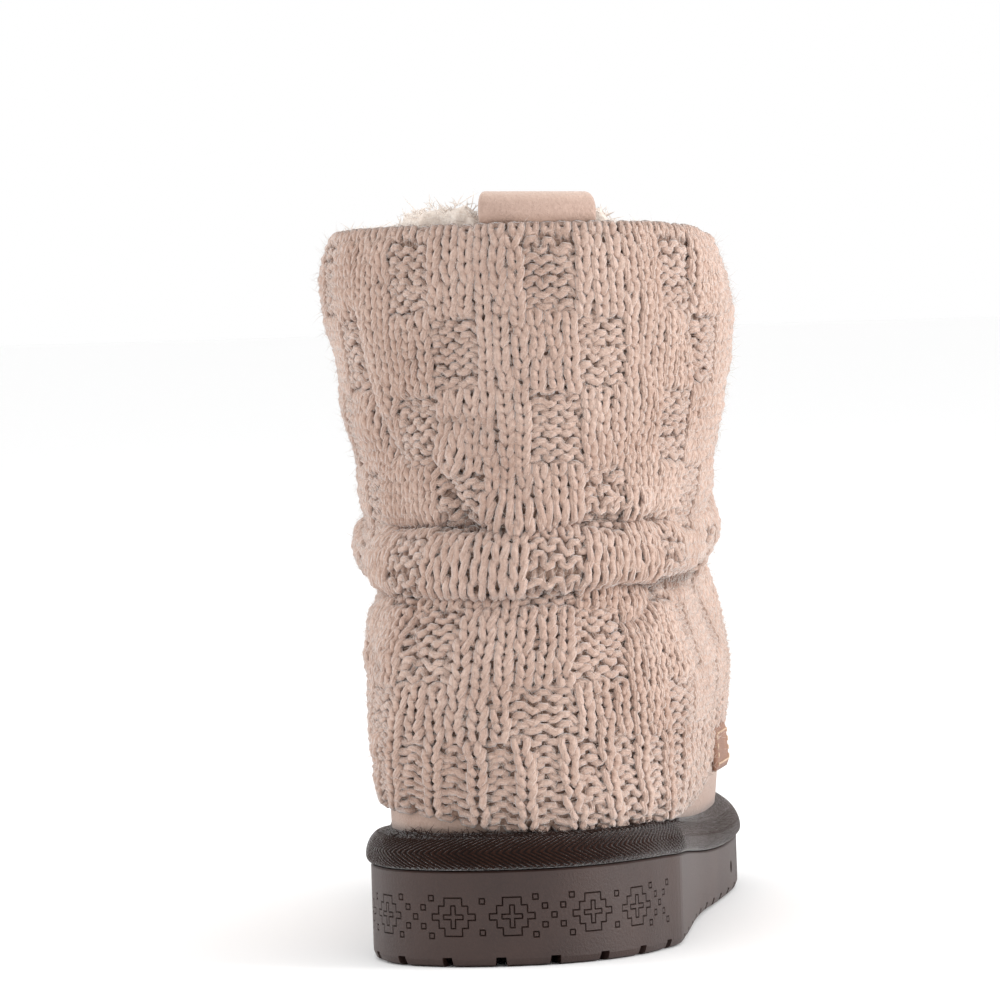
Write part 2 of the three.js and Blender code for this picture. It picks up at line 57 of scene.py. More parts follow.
# The sole's half widths by distance from the heel, the suede's sections by how far up they are,
# the knit's hem by turn, and how far the knit stands off the suede by height.
outlineTable = dict(
    along=[3, 11, 24, 34, 43, 50, 76, 110, 145, 178, 201, 226, 247, 261, 269],
    inner=[22, 33.8, 40.2, 41.8, 42.6, 42.7, 41.8, 40.6, 43.8, 49, 50.4, 47.5, 39.5, 30, 20],
    outer=[11.5, 24.4, 34.6, 39, 42.3, 42.8, 43.4, 44.4, 47.2, 50.2, 50.6, 46, 34, 20, 8],
)
upperTable = dict(
    rise=[0, 0.06, 0.12, 0.18, 0.24, 0.3, 0.36, 0.42, 0.49, 0.56, 0.64, 0.73, 0.82, 0.91, 1],
    backY=[7, 5.4, 4.8, 5, 6.2, 8, 10, 11.8, 13, 13.6, 13.6, 13, 12, 11, 10],
    backZ=[37.3, 47, 57, 67, 77, 86.5, 96, 106, 117, 129, 142, 157, 172, 187, 201],
    frontY=[264, 265.5, 263.5, 256.5, 243.5, 226, 206, 186.5, 168, 153.5, 143, 135.5, 130.5, 127.5, 126],
    frontZ=[33, 42, 51.5, 60, 67.5, 74.5, 82.5, 92.5, 105, 119, 134.5, 152, 169, 186, 201],
    heel=[35.2, 35.4, 35.6, 36.4, 38, 39.4, 40.6, 41.6, 42.6, 43.8, 45.6, 47.8, 49.8, 51.2, 51.6],
    ball=[44.8, 46, 45.4, 43.4, 41, 39.4, 39.2, 40.2, 41.8, 43.6, 45.4, 47.6, 49.8, 51.2, 51.6],
    foot=[1, 1, 1, 0.95, 0.8, 0.6, 0.4, 0.2, 0.06, 0, 0, 0, 0, 0, 0],
    shift=[0, 0, 0, 0.2, 0.5, 0.9, 1.3, 2, 2.5, 3, 3.2, 3.2, 3, 2.8, 2.8],
)
hemTable = dict(
    turn=[0, 0.1, 0.156, 0.2, 0.23, 0.26, 0.29, 0.33, 0.38, 0.44, 0.5],
    rise=[0.006, 0.012, 0.022, 0.036, 0.056, 0.095, 0.15, 0.23, 0.31, 0.375, 0.4],
)
slouchTable = dict(
    up=[0, 0.04, 0.12, 0.21, 0.27, 0.33, 0.375, 0.4, 0.44, 0.475, 0.5, 0.54, 0.62, 0.68, 0.75, 0.84, 0.94, 1],
    back=[0.2, 0.6, 1.5, 2, 3.2, 2.4, 0.6, 2.6, 4.6, 3, 0.8, 2.2, 2.6, 2.2, 2.4, 2.2, 1.6, 0.4],
    medial=[0, 0, 0.2, 0.8, 2.8, 2.8, 0.4, 1.8, 5.2, 3, 0.4, 2, 0.6, 2.2, 1, 2, 2.2, 0.6],
    lateral=[4.4, 6, 8.4, 9, 5.8, 1.6, 0.8, 2.2, 3.4, 2.6, 0.6, 2, 2, 3, 3.6, 3.2, 2.4, 0.2],
    front=[1, 2, 3, 2, 3.4, 2.6, 0.8, 2.4, 4.6, 3, 0.8, 2.4, 1.4, 2.6, 1.6, 2.4, 1.8, 0.6],
)


def smoothCurve(table, knot, column):
    knots, values = np.array(table[knot], float), np.array(table[column], float)
    before = np.maximum(np.arange(len(knots)) - 1, 0)
    after = np.minimum(np.arange(len(knots)) + 1, len(knots) - 1)
    tangents = (values[after] - values[before]) / (knots[after] - knots[before])

    def at(x):
        x = np.clip(x, knots[0], knots[-1])
        i = np.clip(np.searchsorted(knots, x) - 1, 0, len(knots) - 2)
        span = knots[i + 1] - knots[i]
        t = (x - knots[i]) / span
        hold = (1 + 2 * t) * (1 - t) ** 2 * values[i] + t * t * (3 - 2 * t) * values[i + 1]
        lean = t * (1 - t) ** 2 * tangents[i] - t * t * (1 - t) * tangents[i + 1]
        return hold + span * lean

    return at


def lerp(a, b, t):
    return a + (b - a) * t


def smoothStep(x, low, high):
    t = np.clip((x - low) / (high - low), 0, 1)
    return t * t * (3 - 2 * t)


def unit(v):
    return v / np.maximum(np.linalg.norm(v, axis=-1, keepdims=True), 1e-12)


# The sole's outline, as a closed curve over an angle that crowds its points at heel and toe.
def angleAt(along):
    return np.arccos(1 - 2 * np.asarray(along, float) / last["soleLength"])


def makeOutline():
    angles = angleAt(outlineTable["along"])
    once = [(-a, -x) for a, x in zip(angles, outlineTable["inner"])][::-1]
    once += [(0.0, last["heelTip"])]
    once += list(zip(angles, outlineTable["outer"]))
    once += [(math.pi, last["toeTip"])]
    turnsOver = [(a + 2 * math.pi * k, x) for k in (-1, 0, 1) for a, x in once]
    return smoothCurve(dict(angle=[a for a, x in turnsOver], x=[x for a, x in turnsOver]), "angle", "x")


outlineX = makeOutline()


def outlinePoint(turn, inset=0.0):
    # turn 0 is the heel's end, 0.25 the little-toe side, 0.5 the toe
    turn = np.mod(turn, 1.0)
    angle = 2 * math.pi * np.where(turn > 0.5, turn - 1, turn)
    step = 1e-3

    def at(a):
        return np.stack([outlineX(a), last["soleLength"] * (1 - np.cos(a)) / 2], -1)

    along = unit(at(angle + step) - at(angle - step))
    return at(angle) + np.stack([-along[..., 1], along[..., 0]], -1) * np.asarray(inset)[..., None]


def springAt(y):
    past = np.maximum(0, y - wedge["springFrom"]) / (last["soleLength"] - wedge["springFrom"])
    return wedge["toeSpring"] * past ** 2


def soleBottom(y):
    rising = smoothStep(y, wedge["archFrom"], wedge["archFrom"] + wedge["archEase"])
    falling = 1 - smoothStep(y, wedge["archTo"] - wedge["archEase"], wedge["archTo"])
    return wedge["archLift"] * rising * falling + springAt(y)


def soleTop(y):
    down = smoothStep(y, wedge["wedgeStart"], wedge["wedgeEnd"])
    return lerp(wedge["heelThickness"], wedge["foreThickness"], down) + springAt(y)


def platformTop(y):
    return soleTop(y) + last["clearance"] + wedge["platform"]


upperCurve = {name: smoothCurve(upperTable, "rise", name) for name in upperTable if name != "rise"}
hemRise = smoothCurve(hemTable, "turn", "rise")
slouchCurve = {name: smoothCurve(slouchTable, "up", name) for name in slouchTable if name != "up"}
footSpan = [float(outlinePoint(t, last["suedeInset"])[1]) for t in (0.0, 0.5)]


def ballShare(along):
    return smoothStep(along, last["ballFrom"], last["ballAt"])


def ringPlan(turn, rise):
    angle = 2 * math.pi * turn
    p = outlinePoint(turn, last["suedeInset"] + 0 * turn)
    footAlong = (p[..., 1] - footSpan[0]) / (footSpan[1] - footSpan[0])
    lowest = lerp(upperTable["heel"][0], upperTable["ball"][0], ballShare(footAlong))
    share = upperCurve["foot"](rise)
    along = lerp((1 - np.cos(angle)) / 2, footAlong, share)
    across = lerp(np.sin(angle), p[..., 0] / lowest, share)
    return along, across


def collarDip(turn, rise):
    side = np.sin(2 * math.pi * turn)
    depth = np.where(side > 0, last["lateralDip"], last["medialDip"])
    return depth * side ** 2 * smoothStep(rise, last["dipFrom"], 1)


def upperPoint(turn, rise):
    # the suede's outer face: rise 0 is the feather edge, 1 the collar
    turn, rise = np.broadcast_arrays(np.asarray(turn, float), np.asarray(rise, float))
    along, across = ringPlan(turn, rise)
    value = {name: curve(rise) for name, curve in upperCurve.items()}
    half = lerp(value["heel"], value["ball"], ballShare(along))
    y = lerp(value["backY"], value["frontY"], along)
    flat = lerp(value["backZ"], value["frontZ"], along)
    follow = 1 - smoothStep(rise, 0, last["followTo"])
    feather = lerp(upperTable["backZ"][0], upperTable["frontZ"][0], along)
    onPlatform = platformTop(y) + last["clearance"] + flat - feather
    z = lerp(flat, onPlatform, follow) - collarDip(turn, rise)
    return np.stack([half * across + value["shift"], y, z], -1)


def upperNormal(turn, rise):
    step = 2e-3
    along = upperPoint(turn + step, rise) - upperPoint(turn - step, rise)
    up = upperPoint(turn, np.minimum(rise + step, 1)) - upperPoint(turn, np.maximum(rise - step, 0))
    return unit(np.cross(along, up))


def levelled(normals, share):
    flat = normals.copy()
    flat[..., 2] *= 1 - np.broadcast_to(share, flat.shape[:-1])
    return unit(flat)


frameShift = np.array([
    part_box("outsole")[0].x - outlinePoint(np.linspace(0, 1, 721))[:, 0].min() * mm,
    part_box("outsole")[0].y,
    0.0,
])


# Meshes: points in millimetres go into the frame, and faces that look inwards are turned round.
def gridFaces(rows, cols, closeRows=False, closeCols=True):
    i = np.arange(rows if closeRows else rows - 1)[:, None]
    j = np.arange(cols if closeCols else cols - 1)[None, :]
    a, b = i * cols + j, i * cols + (j + 1) % cols
    step = lambda v: (v + cols) % (rows * cols)
    return np.stack([a, b, step(b), step(a)], -1).reshape(-1, 4)


def fanFaces(ring):
    # a ladder across a closed ring, from its first half to its second
    n = len(ring)
    faces = [[ring[0], ring[1], ring[n - 1]]]
    faces += [[ring[j], ring[j + 1], ring[n - j - 1], ring[n - j]] for j in range(1, n // 2 - 1)]
    faces += [[ring[n // 2 - 1], ring[n // 2], ring[n // 2 + 1]]]
    return faces


def signedVolume(points, faces):
    # the sum over fans of triangles, for faces of any size
    total = 0.0
    for size in {len(f) for f in faces}:
        corner = points[np.array([f for f in faces if len(f) == size])]
        for k in range(1, size - 1):
            total += np.einsum("ij,ij->", corner[:, 0], np.cross(corner[:, k], corner[:, k + 1]))
    return total


def makeMesh(name, points, faces, **attributes):
    points = np.asarray(points, float).reshape(-1, 3)
    if signedVolume(points, faces) < 0:
        faces = [f[::-1] for f in faces]
    sizes = np.array([len(f) for f in faces])
    corners = np.concatenate(faces)
    mesh = bpy.data.meshes.new(name)
    mesh.vertices.add(len(points))
    mesh.vertices.foreach_set("co", (points * mm + frameShift).astype(np.float32).reshape(-1))
    mesh.loops.add(len(corners))
    mesh.loops.foreach_set("vertex_index", corners.astype(np.int32))
    mesh.polygons.add(len(sizes))
    mesh.polygons.foreach_set("loop_start", np.r_[0, np.cumsum(sizes)[:-1]].astype(np.int32))
    mesh.update(calc_edges=True)
    mesh.validate()
    for key, values in attributes.items():
        layer = mesh.attributes.new(key, "FLOAT", "POINT")
        layer.data.foreach_set("value", np.asarray(values, np.float32).reshape(-1))
    mesh.polygons.foreach_set("use_smooth", np.ones(len(sizes), bool))
    piece = bpy.data.objects.new(name, mesh)
    scene.collection.objects.link(piece)
    return piece


def makeSlab(name, top, under):
    # a closed slab between two grids of points, with a wall round its rim
    rows, cols = top.shape[:2]
    face = gridFaces(rows, cols, closeCols=False)
    rim = list(range(cols)) + [cols * r + cols - 1 for r in range(1, rows)]
    rim += [rows * cols - 1 - c for c in range(1, cols)] + [cols * r for r in range(rows - 2, 0, -1)]
    walls = [[b, a, a + rows * cols, b + rows * cols] for a, b in zip(rim, rim[1:] + rim[:1])]
    points = np.concatenate([top.reshape(-1, 3), under.reshape(-1, 3)])
    return makeMesh(name, points, np.vstack([face, face[:, ::-1] + rows * cols, np.array(walls)]))


def finishPiece(piece, material, slotName, *nodes):
    piece.data.materials.clear()
    piece.data.materials.append(material)
    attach(piece, "root")
    if nodes:
        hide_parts(*nodes)
    count = sum(len(p.vertices) - 2 for p in piece.data.polygons)
    print(f"{piece.name}: {count} triangles")
    return piece


# Shader helpers.
def addNode(tree, kind, **settings):
    node = tree.nodes.new(kind)
    for key, value in settings.items():
        if key in node.inputs:
            node.inputs[key].default_value = value
        else:
            setattr(node, key, value)
    return node


def makeGroup(name, inputs, outputs):
    group = bpy.data.node_groups.new(name, "ShaderNodeTree")
    for socketName, (kind, value) in inputs.items():
        socket = group.interface.new_socket(name=socketName, in_out="INPUT", socket_type=kind)
        socket.default_value = value
    for socketName, kind in outputs.items():
        group.interface.new_socket(name=socketName, in_out="OUTPUT", socket_type=kind)
    return group, group.nodes.new("NodeGroupInput"), group.nodes.new("NodeGroupOutput")


def colour(red, green, blue):
    # from the eye's 0 to 255 scale to the renderer's linear one
    linear = [((c / 255 + 0.055) / 1.055) ** 2.4 if c > 10 else c / 3294.6 for c in (red, green, blue)]
    return (*linear, 1.0)


def feed(tree, sockets, values):
    # each value is another node's output or a fixed number or colour
    for socket, value in zip(sockets, values):
        if hasattr(value, "is_output"):
            tree.links.new(value, socket)
        else:
            socket.default_value = value


def mixColour(tree, factor, first, second):
    node = addNode(tree, "ShaderNodeMix", data_type="RGBA")
    feed(tree, [node.inputs[0], node.inputs[6], node.inputs[7]], [factor, first, second])
    return node.outputs[2]


def mathNode(tree, operation, *values):
    node = addNode(tree, "ShaderNodeMath", operation=operation)
    feed(tree, node.inputs, values)
    return node.outputs[0]


def mapRange(tree, value, low, high, toLow, toHigh):
    node = tree.nodes.new("ShaderNodeMapRange")
    tree.links.new(value, node.inputs["Value"])
    for key, number in (("From Min", low), ("From Max", high), ("To Min", toLow), ("To Max", toHigh)):
        node.inputs[key].default_value = number
    return node.outputs["Result"]


# Uneven colour and a fine raised nap, for suede, leather, fleece and yarn.
def makeMottle():
    group, source, sink = makeGroup(
        "mottle",
        dict(Dark=("NodeSocketColor", (0.2, 0.1, 0.1, 1)), Light=("NodeSocketColor", (0.6, 0.5, 0.4, 1)),
             PatchSize=("NodeSocketFloat", 60.0), NapSize=("NodeSocketFloat", 900.0),
             NapShare=("NodeSocketFloat", 0.4)),
        dict(Color="NodeSocketColor", Height="NodeSocketFloat"),
    )
    place = group.nodes.new("ShaderNodeTexCoord")
    patches = addNode(group, "ShaderNodeTexNoise", Detail=3.0, Roughness=0.55)
    nap = addNode(group, "ShaderNodeTexNoise", Detail=4.0, Roughness=0.65)
    for noise, size in ((patches, "PatchSize"), (nap, "NapSize")):
        group.links.new(place.outputs["Object"], noise.inputs["Vector"])
        group.links.new(source.outputs[size], noise.inputs["Scale"])
    broad = mapRange(group, patches.outputs["Fac"], 0.3, 0.7, 0.0, 1.0)
    fine = mapRange(group, nap.outputs["Fac"], 0.3, 0.7, 0.0, 1.0)
    mixed = group.nodes.new("ShaderNodeMix")
    shares = [mixed.inputs[0], mixed.inputs[2], mixed.inputs[3]]
    feed(group, shares, [source.outputs["NapShare"], broad, fine])
    blend = mixColour(group, mixed.outputs[0], source.outputs["Dark"], source.outputs["Light"])
    group.links.new(blend, sink.inputs["Color"])
    group.links.new(fine, sink.inputs["Height"])
    return group


mottleGroup = makeMottle()


def startMaterial(name, roughness, sheen=0.0, sheenRoughness=0.5, specular=0.5):
    material = bpy.data.materials.new(name)
    material.use_nodes = True
    tree = material.node_tree
    shader = tree.nodes["Principled BSDF"]
    shader.inputs["Roughness"].default_value = roughness
    shader.inputs["Sheen Weight"].default_value = sheen
    shader.inputs["Sheen Roughness"].default_value = sheenRoughness
    shader.inputs["Specular IOR Level"].default_value = specular
    return material, tree, shader


def addMottle(tree, dark, light, patchSize, napSize, napShare):
    node = tree.nodes.new("ShaderNodeGroup")
    node.node_tree = mottleGroup
    for key, value in (("Dark", dark), ("Light", light), ("PatchSize", patchSize),
                       ("NapSize", napSize), ("NapShare", napShare)):
        node.inputs[key].default_value = value
    return node


def addBump(tree, shader, height, distance, strength=1.0):
    bump = addNode(tree, "ShaderNodeBump", Distance=distance, Strength=strength)
    tree.links.new(height, bump.inputs["Height"])
    tree.links.new(bump.outputs["Normal"], shader.inputs["Normal"])
    return bump


def attributeFac(tree, name):
    return addNode(tree, "ShaderNodeAttribute", attribute_name=name).outputs["Fac"]


def mottledMaterial(name, roughness, dark, light, patchSize, napSize, napShare, bump=None, **gloss):
    # a finish that is only mottled, with its nap as a bump: bump is (distance, strength)
    material, tree, shader = startMaterial(name, roughness, **gloss)
    mottle = addMottle(tree, dark, light, patchSize, napSize, napShare)
    tree.links.new(mottle.outputs["Color"], shader.inputs["Base Color"])
    if bump:
        addBump(tree, shader, mottle.outputs["Height"], *bump)
    return material


# Geometry Nodes that scatter one small part over a carrier mesh.
def makeScatter(name, onEdges=False):
    # Part is repeated over the carrier's own mesh, along its edges or spread over its faces
    tree = bpy.data.node_groups.new(name, "GeometryNodeTree")
    tree.interface.new_socket(name="Geometry", in_out="INPUT", socket_type="NodeSocketGeometry")
    wanted = [("Part", "NodeSocketObject"), ("Spacing", "NodeSocketFloat"), ("Size", "NodeSocketFloat"),
              ("Uneven", "NodeSocketFloat"), ("Lean", "NodeSocketFloat"), ("Seed", "NodeSocketInt"),
              ("Finish", "NodeSocketMaterial")]
    for socketName, kind in wanted:
        tree.interface.new_socket(name=socketName, in_out="INPUT", socket_type=kind)
    tree.interface.new_socket(name="Geometry", in_out="OUTPUT", socket_type="NodeSocketGeometry")
    nodes, links = tree.nodes, tree.links
    source, sink = nodes.new("NodeGroupInput"), nodes.new("NodeGroupOutput")
    part = nodes.new("GeometryNodeObjectInfo")
    links.new(source.outputs["Part"], part.inputs["Object"])
    place = nodes.new("GeometryNodeInstanceOnPoints")
    if onEdges:
        curve = nodes.new("GeometryNodeMeshToCurve")
        links.new(source.outputs["Geometry"], curve.inputs["Mesh"])
        evened = addNode(tree, "GeometryNodeCurveToPoints", mode="LENGTH")
        links.new(curve.outputs["Curve"], evened.inputs["Curve"])
        links.new(source.outputs["Spacing"], evened.inputs["Length"])
        links.new(evened.outputs["Points"], place.inputs["Points"])
        turned = evened.outputs["Rotation"]
    else:
        spread = addNode(tree, "GeometryNodeDistributePointsOnFaces", distribute_method="POISSON")
        spread.inputs["Density Max"].default_value = 4e6
        links.new(source.outputs["Geometry"], spread.inputs["Mesh"])
        links.new(source.outputs["Spacing"], spread.inputs["Distance Min"])
        links.new(source.outputs["Seed"], spread.inputs["Seed"])
        links.new(spread.outputs["Points"], place.inputs["Points"])
        turned = spread.outputs["Rotation"]
    sway = addNode(tree, "FunctionNodeRandomValue", data_type="FLOAT_VECTOR")
    spin = 1 if onEdges else 9  # how much further a part may turn about its own length
    for sign, socket in ((-1, "Min"), (1, "Max")):
        scaled = addNode(tree, "ShaderNodeVectorMath", operation="SCALE")
        scaled.inputs[0].default_value = (sign, sign, sign * spin)
        links.new(source.outputs["Lean"], scaled.inputs["Scale"])
        links.new(scaled.outputs["Vector"], sway.inputs[socket])
    links.new(source.outputs["Seed"], sway.inputs["Seed"])
    spun = addNode(tree, "FunctionNodeRotateRotation", rotation_space="LOCAL")
    links.new(turned, spun.inputs["Rotation"])
    links.new(sway.outputs["Value"], spun.inputs["Rotate By"])
    links.new(spun.outputs["Rotation"], place.inputs["Rotation"])
    links.new(part.outputs["Geometry"], place.inputs["Instance"])
    ranged = addNode(tree, "FunctionNodeRandomValue", data_type="FLOAT")
    for operation, socket in (("SUBTRACT", 2), ("ADD", 3)):
        edge = mathNode(tree, operation, source.outputs["Size"], source.outputs["Uneven"])
        links.new(edge, ranged.inputs[socket])
    links.new(source.outputs["Seed"], ranged.inputs["Seed"])
    links.new(ranged.outputs[1], place.inputs["Scale"])
    real = nodes.new("GeometryNodeRealizeInstances")
    painted = nodes.new("GeometryNodeSetMaterial")
    links.new(place.outputs["Instances"], real.inputs["Geometry"])
    links.new(real.outputs["Geometry"], painted.inputs["Geometry"])
    links.new(source.outputs["Finish"], painted.inputs["Material"])
    links.new(painted.outputs["Geometry"], sink.inputs["Geometry"])
    return tree


def scatter(name, carrier, tree, part, spread, finish):
    # spread holds the spacing in metres, how uneven the size is, the lean in radians and the seed
    modifier = carrier.modifiers.new("scatter", "NODES")
    modifier.node_group = tree
    named = {item.name: item.identifier for item in tree.interface.items_tree if item.in_out == "INPUT"}
    values = dict(Part=part, Spacing=spread["spacing"], Size=1.0, Uneven=spread["uneven"],
                  Lean=spread["lean"], Seed=spread["seed"], Finish=finish)
    for key, value in values.items():
        modifier[named[key]] = value
    carrier.update_tag()
    ready = carrier.evaluated_get(bpy.context.evaluated_depsgraph_get())
    mesh = bpy.data.meshes.new_from_object(ready)
    mesh.name = name
    carrier.modifiers.clear()
    piece = bpy.data.objects.new(name, mesh)
    scene.collection.objects.link(piece)
    mesh.polygons.foreach_set("use_smooth", np.ones(len(mesh.polygons), bool))
    bpy.data.objects.remove(carrier)
    bpy.data.objects.remove(part)
    return piece


def smallPart(name, points, faces):
    # a part to repeat, about its own origin in metres
    mesh = bpy.data.meshes.new(name)
    mesh.from_pydata(np.asarray(points) * mm, [], faces)
    part = bpy.data.objects.new(name, mesh)
    scene.collection.objects.link(part)
    return part


def makeStrand(spine, radius, sides=3):
    # one fibre as a closed spindle along a bent line
    spine = np.asarray(spine, float)
    along = unit(np.gradient(spine, axis=0))
    sideways = unit(np.cross(along, [0.31, 0.95, 0.05]))
    lift = np.cross(along, sideways)
    phi = 2 * math.pi * np.arange(sides) / sides
    rings = [spine[:1]]
    for i in range(1, len(spine) - 1):
        ring = lift[i] * np.cos(phi)[:, None] + sideways[i] * np.sin(phi)[:, None]
        rings.append(spine[i] + radius * ring)
    points = np.vstack(rings + [spine[-1:]])
    faces = [[0, 1 + (k + 1) % sides, 1 + k] for k in range(sides)]
    for i in range(len(spine) - 3):
        a = 1 + i * sides
        around = [(a + k, a + (k + 1) % sides) for k in range(sides)]
        faces += [[p, q, q + sides, p + sides] for p, q in around]
    tip, base = len(points) - 1, 1 + (len(spine) - 3) * sides
    faces += [[tip, base + k, base + (k + 1) % sides] for k in range(sides)]
    return points, faces


def makeClump(name, hair):
    # a few bent fibres from one root, standing up along z
    dice = np.random.default_rng(hair["seed"])
    allPoints, allFaces = [], []
    for strand in range(hair["strands"]):
        t = np.linspace(0, 1, hair["bends"])[:, None]
        lean = dice.normal(size=2) * hair["spread"]
        bend = dice.normal(size=2) * hair["curl"]
        tall = hair["length"] * dice.uniform(0.7, 1.15)
        root = dice.normal(size=2) * hair["spread"] * 0.4
        spine = np.hstack([root + lean * t + bend * t * t, tall * t * (1 - 0.25 * t)])
        points, faces = makeStrand(spine, hair["radius"])
        offset = sum(len(p) for p in allPoints)
        allPoints.append(points)
        allFaces += [[offset + i for i in f] for f in faces]
    return smallPart(name, np.vstack(allPoints), allFaces)


scatterFaces = makeScatter("scatter_on_faces")
scatterEdges = makeScatter("scatter_on_edges", onEdges=True)

# The knit.
knit = dict(
    columns=81, rows=56, ribRows=8, blockRows=7, edgeRows=1, period=9, purlWide=3, firstPurl=1, blockShift=3,
    yarnRadius=1.12, loopHeight=2.7, loopSpread=1.15, loopDepth=0.72, midDepth=1.5,
    samples=11, sides=5, ribRelief=0.34, blockRelief=0.3, unevenness=0.32, topRise=0.99, gap=0.4,
    rowHeight=3.35, loopTurn=0.025, loopRoom=1.8,
)


def slouchAt(turn, up):
    around = np.cos(2 * math.pi * turn)
    back, front = np.maximum(0, around) ** 2, np.maximum(0, -around) ** 2
    side = np.where(np.mod(turn, 1) < 0.5, slouchCurve["lateral"](up), slouchCurve["medial"](up))
    air = back * slouchCurve["back"](up) + front * slouchCurve["front"](up) + (1 - back - front) * side
    fromLoop = np.abs(turn - knit["loopTurn"])
    fromLoop = np.minimum(fromLoop, 1 - fromLoop)
    room = knit["loopRoom"] * (1 - smoothStep(fromLoop, 0.055, 0.1)) * smoothStep(up, 0.8, 0.96)
    return knit["gap"] + np.maximum(0, air) + room


# how far the hem lifts and the collar's rim drops, by turn
hemLift = dict(
    turn=[0, 0.02, 0.05, 0.09, 0.13, 0.17, 0.21, 0.26, 0.7, 0.76, 0.8, 0.86, 0.92, 0.95, 0.975, 1],
    lift=[-1.2, -1.8, -2.8, -3.3, -3.4, -3.0, -2.0, 0, 0, 1.2, 2.6, 3.4, 3.4, 2.8, 1.2, -1.2],
)
rimDrop = dict(
    turn=[0, 0.06, 0.1, 0.16, 0.2, 0.24, 0.28, 0.33, 0.4, 0.6, 0.67, 0.72, 0.76, 0.8, 0.87, 1],
    drop=[0, -0.6, -1.4, -1.6, 0.4, 3.2, 3.4, 2.4, 2.6, 2.6, 2.0, 1.8, 2.2, 1.2, 0, 0],
)
hemLiftAt = smoothCurve(hemLift, "turn", "lift")
rimDropAt = smoothCurve(rimDrop, "turn", "drop")


def sleevePoint(turn, up, extra=0.0):
    rise = lerp(hemRise(np.minimum(np.mod(turn, 1), 1 - np.mod(turn, 1))), knit["topRise"], up)
    normal = levelled(upperNormal(turn, rise), 1 - smoothStep(rise, 0.0, 0.05))
    point = upperPoint(turn, rise) + normal * np.asarray(slouchAt(turn, up) + extra)[..., None]
    drop = rimDropAt(np.mod(turn, 1)) * smoothStep(up, 0.84, 1)
    point -= levelled(normal, 1.0) * (0.8 * drop)[..., None]
    point[..., 2] += hemLiftAt(np.mod(turn, 1)) * (1 - smoothStep(up, 0, 0.16)) - 0.7 * drop
    return point


# Creases and rolls: a path over the knit by distance round from the back's middle line and height,
# how far it stands out (or in), its half width, and how far its fold hangs down.
folds = [
    dict(out=-5.5, width=1.7, sag=0.0,
         path=[(-46, 102), (-30, 101.2), (-14, 100.6), (0, 101), (14, 101.6), (34, 103.4)]),
    dict(out=-4.6, width=3.2, sag=0.0, path=[(34, 102.6), (48, 101), (70, 100), (100, 101)]),
    dict(out=-3.4, width=3.0, sag=0.0, path=[(-100, 102), (-70, 101), (-46, 101.4)]),
    dict(out=2.3, width=3.4, sag=-2.2,
         path=[(-50, 105.6), (-20, 104.8), (10, 105.2), (36, 107), (60, 108.4)]),
    dict(out=1.0, width=4.0, sag=0.0, path=[(-50, 111), (-20, 111.5), (10, 111), (40, 113)]),
    dict(out=-4.6, width=2.0, sag=0.0, path=[(-42, 116.6), (-34, 117), (-28, 117.6)]),
    dict(out=-3.4, width=2.0, sag=0.0, path=[(-28, 117.6), (-14, 118), (0, 117.2), (10, 118.2)]),
    dict(out=-3.8, width=2.4, sag=0.0, path=[(10, 118.2), (24, 120.4), (36, 119.4), (48, 117)]),
    dict(out=1.7, width=3.6, sag=-1.8, path=[(-2, 122), (10, 122.6), (22, 124.6), (36, 123.6)]),
    dict(out=-5.0, width=1.6, sag=0.0, path=[(-24, 138), (-18, 131), (-15.6, 124), (-10, 119), (-1, 116.8)]),
    dict(out=2.2, width=3.6, sag=-1.2, path=[(-17, 138), (-11, 131), (-8, 125), (2, 122)]),
    dict(out=-2.2, width=2.8, sag=0.0, path=[(-52, 176), (-50, 160), (-44, 148), (-38, 138)]),
    dict(out=1.0, width=4.0, sag=0.0, path=[(-44, 176), (-42, 160), (-36, 150)]),
    dict(out=-1.6, width=3.0, sag=0.0, path=[(-34, 152), (-22, 148), (-8, 146)]),
    dict(out=-2.0, width=2.0, sag=0.0, path=[(56, 190), (57, 176), (58, 160)]),
    dict(out=-1.8, width=3.4, sag=0.0, path=[(-50, 84), (-44, 82), (-38, 80)]),
    dict(out=-2.2, width=2.6, sag=0.0, path=[(50, 96), (44, 92), (36, 90)]),
    dict(out=-1.6, width=2.2, sag=0.0, path=[(-26, 98), (-24, 90), (-20, 82)]),
    dict(out=-2.6, width=2.6, sag=0.0, path=[(90, 132), (120, 128), (150, 126), (178, 125)]),
    dict(out=-2.6, width=2.6, sag=0.0, path=[(-90, 130), (-120, 128), (-150, 126), (-178, 125)]),
    dict(out=1.8, width=4.0, sag=-1.2, path=[(96, 112), (130, 114), (160, 116), (178, 117)]),
    dict(out=1.8, width=4.0, sag=-1.2, path=[(-96, 112), (-130, 114), (-160, 116), (-178, 117)]),
]


def pathDistance(across, height, path):
    best = np.full(across.shape, 1e9)
    for (x0, z0), (x1, z1) in zip(path[:-1], path[1:]):
        dx, dz = x1 - x0, z1 - z0
        t = np.clip(((across - x0) * dx + (height - z0) * dz) / (dx * dx + dz * dz), 0, 1)
        best = np.minimum(best, np.hypot(across - x0 - t * dx, height - z0 - t * dz))
    return best


def softNoise(shape, cells, seed):
    # smooth lumps over the sleeve: a coarse grid of random heights, closed round the leg
    grid = np.random.default_rng(seed).normal(size=cells)
    rows = np.linspace(0, cells[0] - 1.001, shape[0])
    cols = np.linspace(0, cells[1], shape[1], endpoint=False)
    r0, c0 = rows.astype(int), cols.astype(int)
    fr, fc = smoothStep(rows - r0, 0, 1)[:, None], smoothStep(cols - c0, 0, 1)[None, :]
    at = lambda r, c: grid[np.ix_(r, c % cells[1])]
    low = lerp(at(r0, c0), at(r0, c0 + 1), fc)
    high = lerp(at(r0 + 1, c0), at(r0 + 1, c0 + 1), fc)
    return lerp(low, high, fr)


